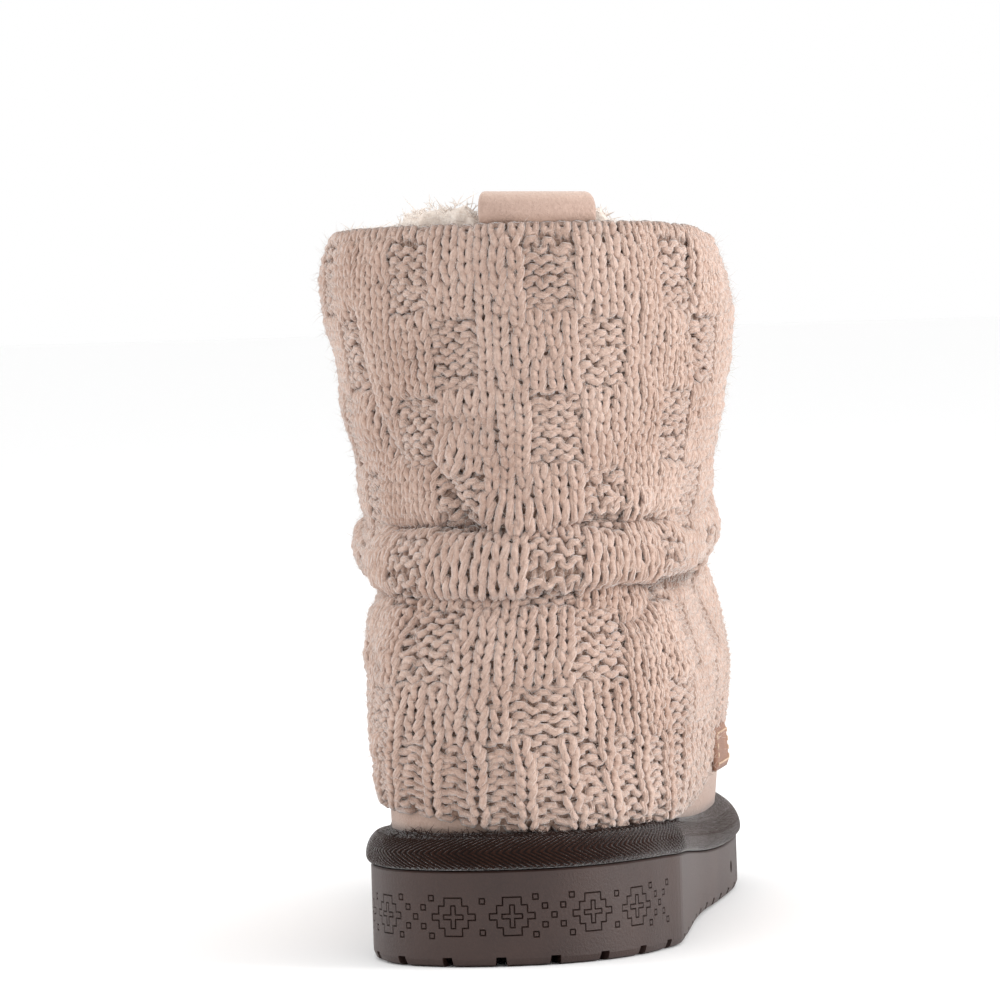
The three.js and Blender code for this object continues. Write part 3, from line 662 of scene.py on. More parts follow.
def gridNormals(points):
    along = np.roll(points, -1, 1) - np.roll(points, 1, 1)
    up = np.gradient(points, axis=0)
    return unit(np.cross(along, -up))


def makeKnitSurface(stepsPerRow=8, stepsPerColumn=9):
    # rows run from the collar down to the hem, columns from the back round by the little-toe side
    fineUp, fineTurn = np.linspace(1, 0, 700), np.linspace(0, 1, 901)[:-1]
    # rows of one height down the back
    steps = np.linalg.norm(np.diff(sleevePoint(0 * fineUp, fineUp), axis=0), axis=1)
    down = np.r_[0, np.cumsum(steps)]
    wanted = np.linspace(0, down[-1], knit["rows"] * stepsPerRow + 1)
    ups = np.interp(wanted, down, fineUp)
    # columns of one width round each ring
    columns = knit["columns"] * stepsPerColumn
    rows = []
    for up in ups:
        ring = sleevePoint(fineTurn, up + 0 * fineTurn)
        closed = np.vstack([ring, ring[:1]])
        length = np.r_[0, np.cumsum(np.linalg.norm(np.diff(closed, axis=0), axis=1))]
        even = np.linspace(0, length[-1], columns + 1)[:-1]
        rows.append(np.interp(even, length, np.r_[fineTurn, 1.0]))
    turns = np.array(rows)
    flat = sleevePoint(turns, ups[:, None] + 0 * turns)
    return flat, turns, ups


def foldedSurface(flat):
    normals = gridNormals(flat)
    seam = np.linalg.norm(np.roll(flat, -1, 1) - flat, axis=-1)
    across = np.cumsum(seam, axis=1) - seam[:, :1]
    girth = across[:, -1:] + seam[:, -1:]
    across = np.where(across > girth / 2, across - girth, across)
    height = flat[..., 2]
    out, sag = np.zeros(height.shape), np.zeros(height.shape)
    for fold in folds:
        weight = np.exp(-(pathDistance(across, height, fold["path"]) / fold["width"]) ** 2)
        out += fold["out"] * weight
        sag += fold["sag"] * weight
    out += knit["unevenness"] * softNoise(height.shape, (26, 40), 3)
    # a crease can't press the knit into the suede
    pressed = np.maximum(out, -0.92 * np.maximum(knitAir, 0.0) - 0.35)
    folded = flat + normals * pressed[..., None]
    folded[..., 2] += sag
    return folded, gridNormals(folded), out


flatKnit, knitTurns, knitUps = makeKnitSurface()
knitAir = slouchAt(knitTurns, knitUps[:, None] + 0 * knitTurns)
knitFace, knitNormal, knitOut = foldedSurface(flatKnit)


def onGrid(grid, row, column):
    # a smooth reading of a grid at fractional rows and closed columns
    rows, cols = grid.shape[:2]
    r = np.clip(row / knit["rows"] * (rows - 1), 0, rows - 1.001)
    c = np.mod(column / knit["columns"], 1.0) * cols
    r0, c0 = r.astype(int), c.astype(int)
    fr, fc = (r - r0), (c - c0)
    if grid.ndim == 3:
        fr, fc = fr[..., None], fc[..., None]
    c0, c1 = c0 % cols, (c0 + 1) % cols
    low = lerp(grid[r0, c0], grid[r0, c1], fc)
    high = lerp(grid[r0 + 1, c0], grid[r0 + 1, c1], fc)
    return lerp(low, high, fr)


def isPurl(row, column):
    # the stitch chart: purl blocks that step sideways every few rows, over a knit-one purl-one rib
    half = knit["columns"] // 2
    signed = np.where(column > half, column - knit["columns"], column)
    block = (row - knit["edgeRows"]) // knit["blockRows"]
    start = knit["firstPurl"] + np.where(block % 2 == 1, knit["blockShift"], 0)
    inBlock = np.mod(signed - start, knit["period"]) < knit["purlWide"]
    inRib = row >= knit["rows"] - knit["ribRows"]
    edge = row < knit["edgeRows"]
    return np.where(inRib, signed % 2 == 0, inBlock & ~edge)


def yarnPaths(firstRow, lastRow):
    samples = knit["samples"]
    rows = np.arange(firstRow, lastRow)[:, None]
    k = np.arange(knit["columns"] * samples)[None, :]
    column = k // samples
    theta = 2 * math.pi * ((k % samples) / samples - 0.5)
    purlHere = isPurl(rows, column + 0 * rows).astype(float)
    purlNext = isPurl(rows, (column + 1) % knit["columns"] + 0 * rows).astype(float)
    purlBefore = isPurl(rows, (column - 1) % knit["columns"] + 0 * rows).astype(float)
    nearNext = smoothStep(theta, 0.55 * math.pi, math.pi) * 0.5
    nearBefore = smoothStep(-theta, 0.55 * math.pi, math.pi) * 0.5
    purl = purlHere * (1 - nearNext - nearBefore) + purlNext * nearNext + purlBefore * nearBefore
    side = 1 - 2 * purl
    stitch = np.random.default_rng(11).normal(size=(knit["rows"], knit["columns"], 4))
    wobble = stitch[rows, column]
    spread = knit["loopSpread"] * (1 + 0.14 * wobble[..., 0])
    tall = knit["loopHeight"] * (1 + 0.12 * wobble[..., 1])
    loopX = (theta + spread * np.sin(2 * theta)) / (2 * math.pi)
    loopY = -tall * np.cos(theta) / knit["rowHeight"]
    loopZ = -knit["loopDepth"] * np.cos(2 * theta) * side
    inRib = rows >= knit["rows"] - knit["ribRows"]
    relief = np.where(inRib, knit["ribRelief"], knit["blockRelief"]) * side
    edge = np.minimum(1, np.minimum(rows + 1.4, knit["rows"] - rows + 0.4) / 3.0)
    columnAt = column + 0.5 + loopX + 0.065 * wobble[..., 2]
    rowAt = np.clip(rows + 0.5 + loopY + 0.09 * wobble[..., 3], 0.0, knit["rows"])
    depth = knit["midDepth"] * edge + loopZ + relief
    return columnAt, rowAt, depth


def makeYarn(name, firstRow, lastRow):
    columnAt, rowAt, depth = yarnPaths(firstRow, lastRow)
    centre = onGrid(knitFace, rowAt, columnAt) + onGrid(knitNormal, rowAt, columnAt) * depth[..., None]
    out = unit(onGrid(knitNormal, rowAt, columnAt))
    along = unit(np.roll(centre, -1, 1) - np.roll(centre, 1, 1))
    sideways = unit(np.cross(along, out))
    lift = np.cross(sideways, along)
    phi = 2 * math.pi * np.arange(knit["sides"]) / knit["sides"]
    thick = knit["yarnRadius"] * (1 + 0.07 * np.random.default_rng(5).normal(size=depth.shape))
    ring = (lift[..., None, :] * np.cos(phi)[:, None] + sideways[..., None, :] * np.sin(phi)[:, None])
    points = centre[..., None, :] + ring * thick[..., None, None]
    rows, length, sides = points.shape[:3]
    one = gridFaces(length, sides, closeRows=True)
    faces = (one[None] + np.arange(rows)[:, None, None] * length * sides).reshape(-1, 4)
    run = np.broadcast_to(np.arange(length)[None, :, None] / knit["samples"], points.shape[:3])
    around = np.broadcast_to(np.arange(sides)[None, None, :] / sides, points.shape[:3])
    hollow = onGrid(knitOut, rowAt, columnAt)
    # the yarn's height over the knit's middle, which the material darkens as painted shade where the yarn
    # lies deep
    high = (depth - knit["midDepth"])[..., None] + np.cos(phi) * knit["yarnRadius"]
    # how deep a crease presses the knit in here, which the material darkens as painted shade in the creases
    pit = np.broadcast_to(np.clip(-(hollow + 0.8) / 3.2, 0, 1)[..., None], points.shape[:3])
    return makeMesh(name, points, faces, run=run, around=around, high=high, pit=pit)


def makeGround():
    # the knit's inside behind its loops, a sheet coloured dark as painted shade, just over the suede
    rows = np.arange(0, knit["rows"] + 0.01, 0.7)
    cols = np.arange(0, knit["columns"], 0.75)
    col, row = np.meshgrid(cols, rows)
    base, normal = onGrid(knitFace, row, col), onGrid(knitNormal, row, col)
    lip = smoothStep(np.minimum(row, knit["rows"] - row), 0, 1.2)
    outer = base + normal * (0.15 + 0.95 * lip)[..., None]
    inner = base + normal * 0.05
    points = np.concatenate([outer, inner[::-1]])
    return makeMesh("knit_ground", points, gridFaces(2 * len(rows), len(cols), closeRows=True))


def yarnMaterial():
    material, tree, shader = startMaterial("sweater_yarn", 0.9, sheen=0.75, sheenRoughness=0.38, specular=0.2)
    mottle = addMottle(tree, colour(176, 144, 128), colour(220, 194, 180), 45.0, 800.0, 0.6)
    # painted shade: the yarn darkens where its surface lies deeper in the knit
    high = mapRange(tree, attributeFac(tree, "high"), -1.6, 1.1, 0.0, 1.0)
    shaded = mixColour(tree, high, colour(104, 77, 64), mottle.outputs["Color"])
    # painted shade: darker again in the creases of the knit
    pit = mathNode(tree, "MULTIPLY", attributeFac(tree, "pit"), 0.8)
    painted_crease_shade = mixColour(tree, pit, shaded, colour(88, 64, 52))
    tree.links.new(painted_crease_shade, shader.inputs["Base Color"])
    twist = mathNode(tree, "ADD", mathNode(tree, "MULTIPLY", attributeFac(tree, "run"), 5.0),
                     mathNode(tree, "MULTIPLY", attributeFac(tree, "around"), 2.0))
    ply = mathNode(tree, "ABSOLUTE", mathNode(tree, "SINE", mathNode(tree, "MULTIPLY", twist, math.pi)))
    height = mathNode(tree, "ADD", mathNode(tree, "MULTIPLY", ply, 0.6),
                      mathNode(tree, "MULTIPLY", mottle.outputs["Height"], 0.9))
    addBump(tree, shader, height, 0.0005, 0.8)
    return material


yarn = yarnMaterial()
# the sheet's colour: painted shade between the loops
shadow = mottledMaterial("knit_shadow", 0.95, colour(124, 99, 86), colour(172, 146, 131), 200.0, 900.0, 0.6,
                         bump=(0.0006, 1.0), specular=0.1)
finishPiece(makeGround(), shadow, "sweater_knit", "knit_sleeve")
finishPiece(makeYarn("knit_shaft", 0, 19), yarn, "sweater_knit")
finishPiece(makeYarn("knit_ankle", 19, 37), yarn, "sweater_knit")
finishPiece(makeYarn("knit_heel_and_rib", 37, knit["rows"]), yarn, "sweater_knit")


# The yarn's fuzz: short bent fibres standing off the knit.
fuzz = dict(spacing=0.00225, uneven=0.35, lean=0.75, seed=9, strands=3, length=2.3, radius=0.035, spread=1.5,
            curl=1.3, bends=3, standOff=2.3)


def makeFuzzCarrier():
    rows = np.arange(0.4, knit["rows"] - 0.2, 0.9)
    cols = np.arange(0, knit["columns"], 0.75)
    col, row = np.meshgrid(cols, rows)
    points = onGrid(knitFace, row, col) + onGrid(knitNormal, row, col) * fuzz["standOff"]
    return makeMesh("fuzz_carrier", points, gridFaces(len(rows), len(cols)))


fuzzHair = mottledMaterial("yarn_fuzz", 0.95, colour(196, 178, 167), colour(232, 222, 213), 90.0, 700.0, 0.5,
                           sheen=0.6, sheenRoughness=0.3, specular=0.1)
yarnFuzz = scatter("yarn_fuzz", makeFuzzCarrier(), scatterFaces, makeClump("fibre", fuzz), fuzz, fuzzHair)
finishPiece(yarnFuzz, fuzzHair, "sweater_knit")

# The suede upper.
suede = dict(rings=56, around=150, top=0.978, wall=2.2, featherDrop=2.2)


def makeUpper():
    rises = np.linspace(0, suede["top"], suede["rings"])
    turns = np.arange(suede["around"]) / suede["around"]
    turn, rise = np.meshgrid(turns, rises)
    face, normal = upperPoint(turn, rise), upperNormal(turn, rise)
    ends = np.maximum(1 - rise / 0.03, 0) + np.maximum(1 - (suede["top"] - rise) / 0.01, 0)
    normal = levelled(normal, np.clip(ends, 0, 1))
    face[..., 2] -= suede["featherDrop"] * (1 - smoothStep(rise, 0, 0.05))
    inner = face - normal * suede["wall"]
    points = np.concatenate([face, inner[::-1]])
    return makeMesh("suede_upper", points, gridFaces(2 * len(rises), len(turns), closeRows=True))


softSuede = mottledMaterial("suede", 0.85, colour(158, 130, 116), colour(196, 170, 156), 35.0, 1500.0, 0.45,
                            bump=(0.00025, 0.7), sheen=0.5, sheenRoughness=0.4, specular=0.25)
finishPiece(makeUpper(), softSuede, "suede", "upper")


# The plush lining.
plush = dict(wall=3.4, rows=36, around=320, lumps=0.9, lipRadius=2.3, lipSteps=14, lipInset=3.7,
             lipDrop=1.7, lipRise=0.985, fluff=0.8, suede=2.4, top=0.972)
# where the fur stands up highest over the collar: by turn, half width of the turn, and height
fluffPeaks = [dict(turn=0.912, half=0.02, tall=5.2), dict(turn=0.93, half=0.02, tall=6.0),
              dict(turn=0.955, half=0.018, tall=6.2), dict(turn=0.082, half=0.016, tall=5.0)]


def fluffAt(turn):
    tall = np.zeros(np.shape(turn))
    for peak in fluffPeaks:
        away = np.abs(np.mod(turn - peak["turn"] + 0.5, 1) - 0.5)
        tall = np.maximum(tall, peak["tall"] * np.exp(-(away / peak["half"]) ** 2))
    return tall


def lipPoint(turn, angle, extra=0.0):
    # the lining's rounded lip: angle 0 faces into the boot, a quarter turn up faces the sky
    base = upperPoint(turn, plush["lipRise"])
    inward = -levelled(upperNormal(turn, plush["lipRise"]), 1.0)
    radius = plush["lipRadius"] + extra
    point = base + inward * (plush["lipInset"] + radius * np.cos(angle))[..., None]
    raised = fluffAt(turn) * smoothStep(np.sin(angle), -0.2, 1)
    point[..., 2] += radius * np.sin(angle) - plush["lipDrop"] - collarDip(turn, 1.0) * 0.5 + raised
    return point


def makeLining():
    rises = np.linspace(0.01, plush["top"], plush["rows"])
    turns = np.arange(plush["around"]) / plush["around"]
    turn, rise = np.meshgrid(turns, rises)
    normal = levelled(upperNormal(turn, rise), smoothStep(rise, 0.9, 0.97) + smoothStep(-rise, -0.03, 0))
    lump = plush["lumps"] * softNoise(turn.shape, (38, 90), 21)
    face = upperPoint(turn, rise)
    outer = face - normal * plush["suede"]
    inner = face - normal * (plush["suede"] + plush["wall"] + lump)[..., None]
    angles = np.linspace(-0.3, math.pi + 0.3, plush["lipSteps"])
    fluff = plush["fluff"] * softNoise((len(angles), len(turns)), (6, 130), 23)
    lip = lipPoint(*np.meshgrid(turns, angles), fluff)
    points = np.concatenate([outer, lip[::-1], inner[::-1]])
    return makeMesh("plush_lining", points, gridFaces(len(points), len(turns), closeRows=True))


plushFur = mottledMaterial("plush", 0.95, colour(226, 208, 194), colour(250, 240, 230), 120.0, 800.0, 0.6,
                           bump=(0.0006, 0.6), sheen=0.6, sheenRoughness=0.5, specular=0.15)
finishPiece(makeLining(), plushFur, "fleece")


def zipLines(first, firstAt, second, secondAt):
    # triangles between two rows of points that needn't have the same number of points
    i, j, faces = 0, 0, []
    while i + 1 < len(first) or j + 1 < len(second):
        takeFirst = j + 1 == len(second) or (i + 1 < len(first) and firstAt[i + 1] <= secondAt[j + 1] + 1e-9)
        if takeFirst:
            faces.append([first[i], second[j], first[i + 1]])
            i += 1
        else:
            faces.append([first[i], second[j], second[j + 1]])
            j += 1
    return faces


def boundaryLength():
    turns = np.linspace(0, 1, 2881)
    steps = np.linalg.norm(np.diff(outlinePoint(turns), axis=0), axis=1)
    return turns, np.r_[0, np.cumsum(steps)]


outlineTurns, outlineRun = boundaryLength()
girth = outlineRun[-1]
toeRun = outlineRun[len(outlineRun) // 2]
turnAt = lambda run: np.interp(np.mod(run, girth), outlineRun, outlineTurns)

# The rubber sole, with its sunken band of medallions, crosses and small squares.
sole = dict(
    edge=2.2, topEase=0.45, step=2.6, bandMiddle=0.527, lineWidth=0.46, lineDepth=0.42, crossAt=16.6,
    plainFrom=56.0, plainTo=214.0, bandReach=6.7,
    notchPitch=15.0, notchLow=3.6, notchHigh=2.7, notchDepth=2.7, notchReach=13.0, notchStart=0.12,
    grooveWidth=4.0, grooveDepth=2.2, groovePitch=15.0, grooveEdge=13.0, heelGrooves=(24.0, 69.0),
    foreGrooves=(155.0, 245.0), dimpleAt=176.0, dimpleHeight=0.52, dimpleRadius=1.85,
)
square = [(0.95, 0.95)]
medallion = [(0, 0, [(2.75, 5.4), (4.4, 3.24), (6.4, 1.08)]), (0, 0, [(0.85, 3.3), (3.0, 0.85)])]
squareCross = [(a * 2.55, b * 2.55, square) for a, b in
               [(0, 0), (1, 1), (1, -1), (-1, 1), (-1, -1), (2, 2), (2, -2), (-2, 2), (-2, -2)]]
squarePair = [(0, 4.25, square), (0, -4.25, square)]
bandOrder = [(squareCross, 11.5), (medallion, 8.1), (squarePair, 8.1), (medallion, 11.5)]


def bandScale(run):
    y = outlinePoint(turnAt(run))[1]
    return 0.33 + 0.67 * (soleTop(y) - soleBottom(y)) / wedge["heelThickness"]


def bandShapes():
    # every outlined shape of the band: its place round the edge, its height, and its steps
    places, run, k = [], sole["crossAt"], 0
    while run > sole["plainTo"] - girth:
        motif, gap = bandOrder[k % 4]
        places.append((run, motif))
        run -= gap * bandScale(run)
        k += 1
    run, k = sole["crossAt"], 3
    while run < sole["plainFrom"] - 8:
        motif, gap = bandOrder[k % 4]
        run += gap * bandScale(run)
        places.append((run, motif))
        k -= 1
    shapes = []
    for run, motif in places:
        k = bandScale(run)
        for dx, dz, steps in motif:
            shapes.append((run + dx * k, dz * k, [(w * k, h * k) for w, h in steps]))
    return shapes


def lineSteps(half):
    w = sole["lineWidth"]
    return [sign * (half - cut) for sign in (-1, 1) for cut in (0, w / 2, w)]


def bandColumn(run, shapes):
    # the heights a column needs in the band, and how deep the line is at each
    reach = sole["bandReach"] * bandScale(run)
    near = [item for item in shapes if abs(run - item[0]) <= max(w for w, h in item[2]) + 1e-4]
    levels = {dz + cut for x, dz, steps in near for w, h in steps for cut in lineSteps(h)}
    heights = np.array(sorted(levels | {-reach, reach}))
    heights = heights[np.r_[True, np.diff(heights) > 0.01]]
    depths = np.zeros(len(heights))
    for x, dz, steps in near:
        inside = np.max([np.minimum(w - abs(run - x), h - np.abs(heights - dz)) for w, h in steps], axis=0)
        depths = np.maximum(depths, np.clip(1 - np.abs(2 * inside / sole["lineWidth"] - 1), 0, 1))
    return run, heights, depths


def bandColumns():
    # every column of the wall: its place round the edge, and its points' heights and depths in the band
    shapes = bandShapes()
    lines = {round(x + cut, 3) for x, dz, steps in shapes for w, h in steps for cut in lineSteps(w)}
    runs = np.array(sorted(lines))
    runs = runs[np.r_[True, np.diff(runs) > 0.02]]
    taken = np.mod(runs, girth)
    plain = [run for run in np.arange(0, girth, sole["step"]) if np.abs(taken - run).min() > 0.45]
    plain = [run - girth if run > sole["plainTo"] else run for run in plain]
    signed = np.r_[runs, plain, 0.0, toeRun - girth]
    signed = signed[np.argsort(np.mod(signed, girth))]
    keep = np.r_[True, np.diff(np.mod(signed, girth)) > 0.015]
    columns = [bandColumn(run, shapes) for run in signed[keep]]
    return [(np.mod(run, girth), heights, depths) for run, heights, depths in columns]


def soleWall():
    points, lines, lineShades, runs, sides = [], [], [], [], []
    for run, heights, depths in bandColumns():
        turn = turnAt(run)
        y = outlinePoint(turn)[1]
        floor, top = soleBottom(y), soleTop(y)
        middle = floor + sole["bandMiddle"] * (top - floor)
        e = sole["edge"]
        rows = [(e, floor, 0), (0.3 * e, floor + 0.3 * e, 0), (0, floor + e, 0)]
        # each band row's share of the line depth, which the material darkens as painted shade in the sunken
        # lines
        rows += [(d * sole["lineDepth"], middle + h, d) for h, d in zip(heights, depths)]
        rows += [(0, top - sole["topEase"], 0), (sole["topEase"], top, 0)]
        lines.append(list(range(len(points), len(points) + len(rows))))
        for inset, z, mark in rows:
            p = outlinePoint(turn, inset)
            points.append([p[0], p[1], z])
            lineShades.append(mark)
        runs.append([-9, -8.5, -8] + list(heights) + [8, 9])
        sides.append(run)
    return np.array(points), lines, np.array(lineShades), runs, np.array(sides)


def makeOutsole():
    points, lines, lineShades, levels, sides = soleWall()
    faces = []
    for a in range(len(lines)):
        b = (a + 1) % len(lines)
        faces += [f[::-1] for f in zipLines(lines[a], levels[a], lines[b], levels[b])]
    toe = int(np.argmin(np.abs(sides - toeRun)))
    lateral = list(range(0, toe + 1))
    medial = [0] + list(range(len(lines) - 1, toe - 1, -1))
    for end, flip in ((0, True), (-1, False)):
        one, two = [lines[c][end] for c in lateral], [lines[c][end] for c in medial]
        cap = zipLines(one, points[one, 1], two, points[two, 1])
        cap = [f for f in cap if len(set(f)) == 3]
        faces += [f[::-1] for f in cap] if flip else cap
    return makeMesh("rubber_sole", points, faces, line=lineShades)


def barAt(origin, sideways, outward, outline, reach):
    # a bar of the given cross-section from the origin outwards
    up = np.array([0.0, 0.0, 1.0])
    ends = [np.array([origin + sideways * a + up * b + outward * d for a, b in outline]) for d in (0, reach)]
    n = len(outline)
    faces = [list(range(n)), list(range(2 * n - 1, n - 1, -1))]
    faces += [[n + j, n + (j + 1) % n, (j + 1) % n, j] for j in range(n)]
    return np.vstack(ends), faces


def soleCutters():
    bars = []
    count = round(girth / sole["notchPitch"])
    for k in range(count):
        turn = turnAt((k + sole["notchStart"]) * girth / count)
        p, q = outlinePoint(turn), outlinePoint(turn, sole["notchReach"])
        outward = np.append(unit(p - q), 0.0)
        sideways = np.array([-outward[1], outward[0], 0.0])
        low, high, deep = sole["notchLow"] / 2, sole["notchHigh"] / 2, sole["notchDepth"]
        shape = [(-low, -2), (low, -2), (high, deep), (-high, deep)]
        bars.append(barAt(np.append(q, soleBottom(p[1])), sideways, outward, shape, sole["notchReach"] + 2))
    for start, end in (sole["heelGrooves"], sole["foreGrooves"]):
        for y in np.arange(start, end + 1, sole["groovePitch"]):
            left = outlineX(-angleAt(y)) + sole["grooveEdge"]
            right = outlineX(angleAt(y)) - sole["grooveEdge"]
            half, deep = sole["grooveWidth"] / 2, sole["grooveDepth"]
            shape = [(-half, -deep), (half, -deep), (half, deep), (-half, deep)]
            origin = np.array([left, y, soleBottom(y)])
            bars.append(barAt(origin, np.array([0, 1.0, 0]), np.array([1.0, 0, 0]), shape, right - left))
    y = sole["dimpleAt"]
    outerSide = outlineTurns[outlineTurns <= 0.5]
    turn = float(np.interp(y, outlinePoint(outerSide)[:, 1], outerSide))
    p, q = outlinePoint(turn), outlinePoint(turn, 1.3)
    outward = np.append(unit(p - q), 0.0)
    sideways = np.array([-outward[1], outward[0], 0.0])
    height = soleBottom(y) + sole["dimpleHeight"] * (soleTop(y) - soleBottom(y))
    ring = [(sole["dimpleRadius"] * math.cos(a), sole["dimpleRadius"] * math.sin(a))
            for a in np.linspace(0, 2 * math.pi, 17)[:-1]]
    bars.append(barAt(np.append(q, height), sideways, outward, ring, 4))
    points, faces, offset = [], [], 0
    for barPoints, barFaces in bars:
        flip = signedVolume(barPoints, barFaces) < 0
        faces += [[offset + i for i in (f[::-1] if flip else f)] for f in barFaces]
        points.append(barPoints)
        offset += len(barPoints)
    return makeMesh("sole_cutters", np.vstack(points), faces)


def carve(piece, cutters):
    cut = piece.modifiers.new("cut", "BOOLEAN")
    cut.operation = "DIFFERENCE"
    cut.solver = "MANIFOLD"
    cut.object = cutters
    ready = piece.evaluated_get(bpy.context.evaluated_depsgraph_get())
    mesh = bpy.data.meshes.new_from_object(ready)
    name = piece.name
    bpy.data.objects.remove(cutters)
    bpy.data.objects.remove(piece)
    carved = bpy.data.objects.new(name, mesh)
    scene.collection.objects.link(carved)
    return carved


def rubberMaterial():
    material, tree, shader = startMaterial("sole_rubber", 0.52, specular=0.5)
    mottle = addMottle(tree, colour(41, 23, 18), colour(58, 37, 30), 40.0, 1300.0, 0.35)
    # painted shade: the sunken lines of the band are darker
    paintedLineShade = mathNode(tree, "MULTIPLY", attributeFac(tree, "line"), 0.75)
    blend = mixColour(tree, paintedLineShade, mottle.outputs["Color"], colour(30, 21, 18))
    tree.links.new(blend, shader.inputs["Base Color"])
    addBump(tree, shader, mottle.outputs["Height"], 0.00012, 0.6)
    return material


outsole = carve(makeOutsole(), soleCutters())
for polygon in outsole.data.polygons:
    polygon.use_smooth = False
finishPiece(outsole, rubberMaterial(), "outsole_rubber", "outsole")

# The herringbone tape round the platform.
tape = dict(
    inset=[0.6, -0.9, -0.7, 0.5, 2.4, 5, 8.5], height=[0, 1.5, 4.2, 6.8, 8.5, 9.2, 9.4],
    ribs=345, perRib=4, rows=26, arm=4.4, lean=8.5, spine=5.4, relief=0.34, innerInset=8.5,
)


def makeTape():
    knots = np.r_[0, np.cumsum(np.hypot(np.diff(tape["inset"]), np.diff(tape["height"])))]
    profile = dict(at=knots, inset=tape["inset"], height=tape["height"])
    insetAt, heightAt = smoothCurve(profile, "at", "inset"), smoothCurve(profile, "at", "height")
    v = np.linspace(0, knots[-1], tape["rows"])
    step = 0.05
    dInset, dHeight = insetAt(v + step) - insetAt(v - step), heightAt(v + step) - heightAt(v - step)
    size = np.hypot(dInset, dHeight)
    outInset, outHeight = -dHeight / size, dInset / size
    zigzag = np.abs(np.mod(v - tape["spine"] + tape["arm"], 2 * tape["arm"]) - tape["arm"])
    slide = zigzag * tape["lean"] / tape["arm"]
    count = tape["ribs"] * tape["perRib"]
    j = np.arange(count)
    run = j[None, :] * girth / count + slide[:, None]
    face = 0.5 + 0.5 * np.cos(2 * math.pi * j / tape["perRib"])
    edges = smoothStep(v, 0, 0.8) * (1 - smoothStep(v, knots[-1] - 3.2, knots[-1] - 1))
    relief = tape["relief"] * face[None, :] * edges[:, None]
    inset = insetAt(v)[:, None] + outInset[:, None] * relief
    flat = outlinePoint(turnAt(run), inset)
    base = soleTop(outlinePoint(turnAt(run))[..., 1]) + last["clearance"]
    z = base + heightAt(v)[:, None] + outHeight[:, None] * relief
    outer = np.concatenate([flat, z[..., None]], -1)
    under = outlinePoint(turnAt(run[0]), tape["innerInset"] + 0 * run[0])
    inner = np.concatenate([under, base[0][:, None]], -1)[None]
    points = np.concatenate([outer, inner])
    # 1 on the ribs' tops and 0 in the valleys between them and along the tape's edges; the material paints
    # shade where it is low
    crest = np.concatenate([np.broadcast_to(face, run.shape) * edges[:, None], np.zeros((1, count))])
    faces = gridFaces(len(points), count, closeRows=True)
    return makeMesh("platform_tape", points, faces, crest=crest)


def tapeMaterial():
    material, tree, shader = startMaterial("herringbone_tape", 0.85, sheen=0.85, sheenRoughness=0.24,
                                           specular=0.15)
    mottle = addMottle(tree, colour(28, 11, 6), colour(62, 36, 25), 90.0, 1500.0, 0.7)
    # painted shade: near black in the valleys between the ribs and along the tape's edges
    crest = mixColour(tree, attributeFac(tree, "crest"), colour(9, 4, 3), mottle.outputs["Color"])
    tree.links.new(crest, shader.inputs["Base Color"])
    addBump(tree, shader, mottle.outputs["Height"], 0.0002, 0.9)
    return material


tapeCloth = tapeMaterial()
finishPiece(makeTape(), tapeCloth, "platform_tape", "midsole")

# The tape's frayed upper edge.
fray = dict(spacing=0.0011, uneven=0.4, lean=0.5, seed=15, strands=3, length=1.5, radius=0.09, spread=0.7,
            curl=1.0, bends=4, fromTurn=-0.075, toTurn=0.15,
            lines=[(5.0, 9.0), (4.0, 8.95), (3.0, 8.7), (2.3, 8.3)])


def makeFrayCarrier():
    # four lines along the tape's top edge, by inset and height over the sole
    turns = np.linspace(fray["fromTurn"], fray["toTurn"], 100)
    lines = []
    for inset, height in fray["lines"]:
        flat = outlinePoint(np.mod(turns, 1), inset + 0 * turns)
        z = soleTop(outlinePoint(np.mod(turns, 1))[:, 1]) + last["clearance"] + height
        lines.append(np.concatenate([flat, z[:, None]], -1))
    grid = np.array(lines)
    return makeMesh("fray_carrier", grid, gridFaces(*grid.shape[:2], closeCols=False))


frayThread = mottledMaterial("fray_thread", 0.85, colour(24, 13, 9), colour(58, 38, 30), 120.0, 900.0, 0.5,
                             specular=0.2)
frayFibre = makeClump("fray_fibre", fray)
tapeFray = scatter("tape_fray", makeFrayCarrier(), scatterFaces, frayFibre, fray, frayThread)
finishPiece(tapeFray, frayThread, "platform_tape")

# The plush insole.
footbed = dict(thickness=4.2, lumps=0.7, across=26, along=110, inset=6.8)


def makeFootbed():
    half = np.linspace(0.004, 0.496, footbed["along"])
    right = upperPoint(half, 0.02) - levelled(upperNormal(half, 0.02), 1.0) * footbed["inset"]
    left = upperPoint(1 - half, 0.02) - levelled(upperNormal(1 - half, 0.02), 1.0) * footbed["inset"]
    share = (1 - np.cos(math.pi * np.linspace(0, 1, footbed["across"]))) / 2
    grid = lerp(right[:, None], left[:, None], share[None, :, None])
    base = platformTop(grid[..., 1]) + last["clearance"]
    dome = np.minimum(1, 5 * np.minimum(share, 1 - share))[None, :] ** 0.5
    toEnd = np.linspace(0, 1, footbed["along"])
    ends = np.minimum(1, 12 * np.minimum(toEnd, 1 - toEnd))
    lump = footbed["lumps"] * softNoise(grid.shape[:2], (70, 18), 31)
    top = grid.copy()
    top[..., 2] = base + (footbed["thickness"] - 1.2 + 1.2 * dome * ends[:, None] ** 0.5) + lump * dome * 0.6
    under = grid.copy()
    under[..., 2] = base + 0.1
    return makeSlab("plush_insole", top, under)


finishPiece(makeFootbed(), plushFur, "fleece", "insole")

# Fur tufts of the lining, standing up over the collar.
tufts = dict(spacing=0.0017, uneven=0.3, lean=0.5, seed=4, strands=5, length=2.5, radius=0.11, spread=0.9,
             curl=1.5, bends=5)


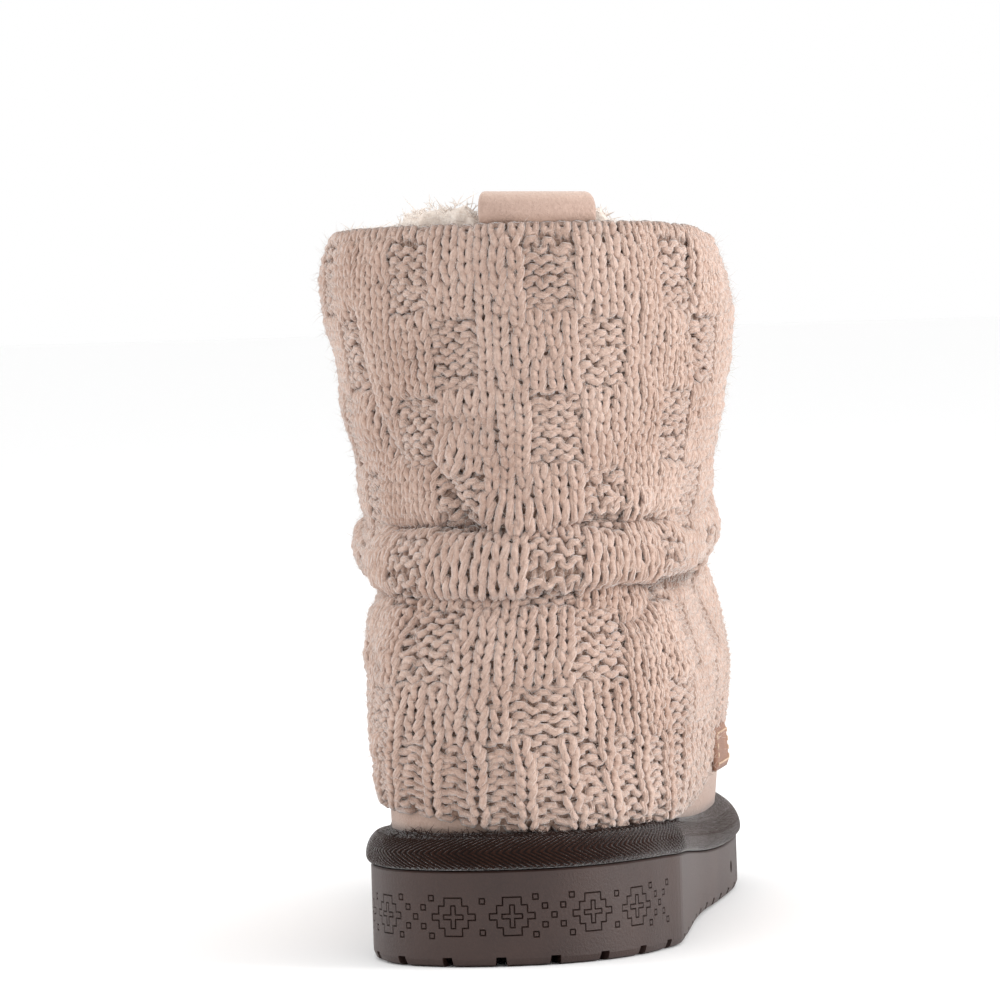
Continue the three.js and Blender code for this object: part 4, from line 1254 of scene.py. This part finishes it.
def makeTuftCarrier():
    # the lining's rounded lip, where the fur stands up
    angles = np.linspace(-0.2, 2.2, 9)
    turns = np.linspace(0, 1, 241)[:-1]
    points = lipPoint(*np.meshgrid(turns, angles), -0.3)
    return makeMesh("tuft_carrier", points, gridFaces(len(angles), len(turns))[:, ::-1])


longFur = mottledMaterial("fur", 0.9, colour(236, 220, 208), colour(253, 247, 240), 150.0, 900.0, 0.5,
                          sheen=0.7, sheenRoughness=0.4, specular=0.2)
furTufts = scatter("lining_tufts", makeTuftCarrier(), scatterFaces, makeClump("tuft", tufts), tufts, longFur)
finishPiece(furTufts, longFur, "fleece")

# The pull loop at the back of the collar.
strap = dict(
    turn=0.025, width=30.4, thickness=1.8, above=7.8, leg=23.0, legTop=2.5, archHalf=5.6, archFoot=1.5,
    archPoints=18, columns=26, sag=0.35,
)


def collarPoint(turn, offset, height):
    rises, heights = upperTable["rise"], upperTable["backZ"]
    perHeight = (rises[-1] - rises[-2]) / (heights[-1] - heights[-2])
    rise = 1 + np.minimum(0, height) * perHeight
    p = upperPoint(turn, rise) + levelled(upperNormal(turn, rise), 1.0) * offset[..., None]
    p[..., 2] += np.maximum(0, height)
    return p


def makeStrap():
    half = strap["thickness"] / 2
    outer, inner = half + last["clearance"], -last["suedeWall"] - half - last["clearance"]
    rise = strap["above"] - half - strap["archFoot"]
    a = np.linspace(0, math.pi, strap["archPoints"])
    # a flattened arch: the fold has a small radius at each side
    bend = np.sign(np.cos(a)) * np.abs(np.cos(a)) ** 0.8
    middle = (outer + inner) / 2
    arch = np.stack([middle + strap["archHalf"] * bend, strap["archFoot"] + rise * np.sin(a) ** 0.8], 1)
    drop = -np.linspace(strap["leg"], strap["legTop"], 9)
    legs = [np.stack([side + 0 * drop, drop], 1) for side in (outer, inner)]
    line = np.vstack([legs[0], arch, legs[1][::-1]])
    along = unit(np.gradient(line, axis=0))
    across = np.stack([along[:, 1], -along[:, 0]], 1)
    radius = upperTable["ball"][-1]
    halfTurn = strap["width"] / 2 / radius / (2 * math.pi)
    s = np.linspace(-1, 1, strap["columns"])
    s = np.sign(s) * (1 - (1 - np.abs(s)) ** 1.6)
    thin = np.maximum(0.2, 1 - (np.maximum(0, np.abs(s) - 0.955) / 0.045) ** 2) ** 0.5
    turns = np.mod(strap["turn"] - s * halfTurn, 1)
    rows = []
    for turn, t, place in zip(turns, thin, s):
        section = np.vstack([line + across * half * t, (line - across * half * t)[::-1]])
        wave = strap["sag"] * (1 - place ** 2) * smoothStep(section[:, 1], 0, 6)
        rows.append(collarPoint(turn + 0 * section[:, 0], section[:, 0], section[:, 1] - wave))
    grid = np.array(rows)
    count = grid.shape[1]
    faces = [list(f) for f in gridFaces(len(rows), count)]
    first, final = fanFaces(list(range(count))), fanFaces([(len(rows) - 1) * count + k for k in range(count)])
    faces += [f[::-1] for f in first] + final
    # each point's height along the loop's line, which the material uses for its painted highlight and painted
    # shade
    fold = np.broadcast_to(np.r_[line[:, 1], line[::-1, 1]][None], grid.shape[:2])
    return makeMesh("pull_loop_strap", grid, faces, height=fold)


def strapMaterial():
    material, tree, shader = startMaterial("loop_suede", 0.85, sheen=0.4, sheenRoughness=0.4, specular=0.25)
    mottle = addMottle(tree, colour(170, 143, 130), colour(203, 175, 161), 60.0, 1100.0, 0.45)
    # painted highlight along the top of the fold, and painted shade lower down the loop
    top = mapRange(tree, attributeFac(tree, "height"), 4.2, 6.6, 0.0, 0.5)
    lit = mixColour(tree, top, mottle.outputs["Color"], colour(222, 194, 176))
    low = mapRange(tree, attributeFac(tree, "height"), 2.2, -0.5, 0.0, 0.45)
    shaded = mixColour(tree, low, lit, colour(150, 118, 100))
    tree.links.new(shaded, shader.inputs["Base Color"])
    addBump(tree, shader, mottle.outputs["Height"], 0.0003, 0.8)
    return material


finishPiece(makeStrap(), strapMaterial(), "loop_suede", "pull_loop")

# The blank leather tag, stitched near the hem on the outer side.
label = dict(turn=0.239, halfTurn=0.014, low=0.005, high=0.07, thickness=1.6, under=4.4, tuck=1.8,
             columns=20, rows=10)
stitching = dict(spacing=0.0026, uneven=0.08, lean=0.03, seed=2, inset=0.144, low=0.16, high=0.84,
                 length=1.7, radius=0.3)


def tagPoint(a, b, depth):
    # a runs across the tag from -1 to 1 and b up it from 0 to 1; its top is tucked in and its foot hangs free
    turn = label["turn"] + label["halfTurn"] * a
    up = lerp(label["low"], label["high"], b)
    point = sleevePoint(turn, up, lerp(label["under"], label["tuck"], b) + depth)
    point[..., 2] = sleevePoint(label["turn"] + 0 * turn, up, 0 * up)[..., 2]
    return point


def makeTag():
    a = np.linspace(-1, 1, label["columns"])
    b = np.linspace(0, 1, label["rows"])
    grid = np.meshgrid(a, b)
    edge = np.minimum(1, 9 * np.minimum(1 - np.abs(grid[0]), 2 * np.minimum(grid[1], 1 - grid[1])))
    top = tagPoint(grid[0], grid[1], label["thickness"] * (0.6 + 0.4 * edge ** 0.5))
    under = tagPoint(grid[0], grid[1], 0.0 * edge)
    return makeSlab("leather_tag", top, under)


def makeTagStitches():
    # one line of stitches round the tag, near its edge
    inset, low, high = 1 - stitching["inset"], stitching["low"], stitching["high"]
    corners = [(-inset, low), (inset, low), (inset, high), (-inset, high), (-inset, low)]
    path = np.vstack([np.linspace(p, q, 24)[:-1] for p, q in zip(corners[:-1], corners[1:])])
    points = tagPoint(path[:, 0], path[:, 1], label["thickness"] + 0.1)
    edges = [(i, (i + 1) % len(points)) for i in range(len(points))]
    mesh = bpy.data.meshes.new("stitch_path")
    mesh.from_pydata([tuple(p) for p in points * mm + frameShift], edges, [])
    carrier = bpy.data.objects.new("stitch_path", mesh)
    scene.collection.objects.link(carrier)
    length = np.linspace(-0.5, 0.5, 7) * stitching["length"]
    points, faces = makeStrand(np.stack([0 * length, 0 * length, length], 1), stitching["radius"], sides=6)
    stitch = smallPart("stitch", points, faces)
    return scatter("tag_stitches", carrier, scatterEdges, stitch, stitching, thread)


tagLeather = mottledMaterial("tag_leather", 0.55, colour(112, 76, 58), colour(150, 110, 88),
                             50.0, 1100.0, 0.5, bump=(0.0002, 0.6), specular=0.4)
thread = mottledMaterial("thread", 0.7, colour(176, 146, 122), colour(214, 190, 168), 80.0, 1500.0, 0.5,
                         specular=0.3)
finishPiece(makeTag(), tagLeather, "tag_leather", "side_tag")
finishPiece(makeTagStitches(), thread, "tag_leather")

# Camera, floor and light.
view = dict(azimuth=4.37, roll=1.81, distance=2.0, height=0.2269, pitch=2.89, lens=268.7, lookX=-0.00277,
            shiftX=-0.0032)


def makeCamera():
    a, p, r = (math.radians(view[key]) for key in ("azimuth", "pitch", "roll"))
    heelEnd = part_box("outsole")[0].y
    forward = Vector((-math.sin(a) * math.cos(p), math.cos(a) * math.cos(p), -math.sin(p)))
    right = Vector((math.cos(a), math.sin(a), 0.0))
    up = right.cross(forward)
    rolledRight = math.cos(r) * right - math.sin(r) * up
    rolledUp = math.sin(r) * right + math.cos(r) * up
    place = Vector((math.sin(a) * view["distance"] + view["lookX"], heelEnd - math.cos(a) * view["distance"],
                    view["height"]))
    camera = bpy.data.objects.new("camera", bpy.data.cameras.new("camera"))
    turned = Matrix((rolledRight, rolledUp, -forward)).transposed().to_4x4()
    camera.matrix_world = Matrix.Translation(place) @ turned
    camera.data.lens = view["lens"]
    camera.data.sensor_width = 36.0
    camera.data.shift_x = view["shiftX"]
    camera.data.clip_end = 20.0
    scene.collection.objects.link(camera)
    scene.camera = camera


def makeFloor():
    corners = [(-6, -6, 0), (6, -6, 0), (6, 6, 0), (-6, 6, 0)]
    mesh = bpy.data.meshes.new("floor")
    mesh.from_pydata(corners, [], [(0, 1, 2, 3)])
    floor = bpy.data.objects.new("floor", mesh)
    scene.collection.objects.link(floor)
    material, _, shader = startMaterial("floor_white", 0.7, specular=0.2)
    shader.inputs["Base Color"].default_value = (0.98, 0.98, 0.98, 1)
    mesh.materials.append(material)


lightTable = [
    dict(name="key_right", at=(1.5, -0.2, 0.6), size=1.0, watts=20),
    dict(name="left_side", at=(-1.5, 0.1, 0.7), size=1.0, watts=10),
    dict(name="back_fill", at=(0.2, -2.2, 1.7), size=2.0, watts=2.5),
    dict(name="top_soft", at=(0.0, 0.6, 2.2), size=2.2, watts=2.5),
]


def makeLights():
    for row in lightTable:
        lamp = bpy.data.lights.new(row["name"], "AREA")
        lamp.size = row["size"]
        lamp.energy = row["watts"]
        holder = bpy.data.objects.new(row["name"], lamp)
        holder.location = row["at"]
        toBoot = Vector((0, 0, 0.1)) - Vector(row["at"])
        holder.rotation_euler = toBoot.to_track_quat("-Z", "Y").to_euler()
        scene.collection.objects.link(holder)
    world = bpy.data.worlds.new("studio")
    world.use_nodes = True
    world.node_tree.nodes["Background"].inputs["Color"].default_value = (1, 1, 1, 1)
    world.node_tree.nodes["Background"].inputs["Strength"].default_value = 1.0
    scene.world = world
    scene.view_settings.view_transform = "Standard"


makeCamera()
makeFloor()
makeLights()
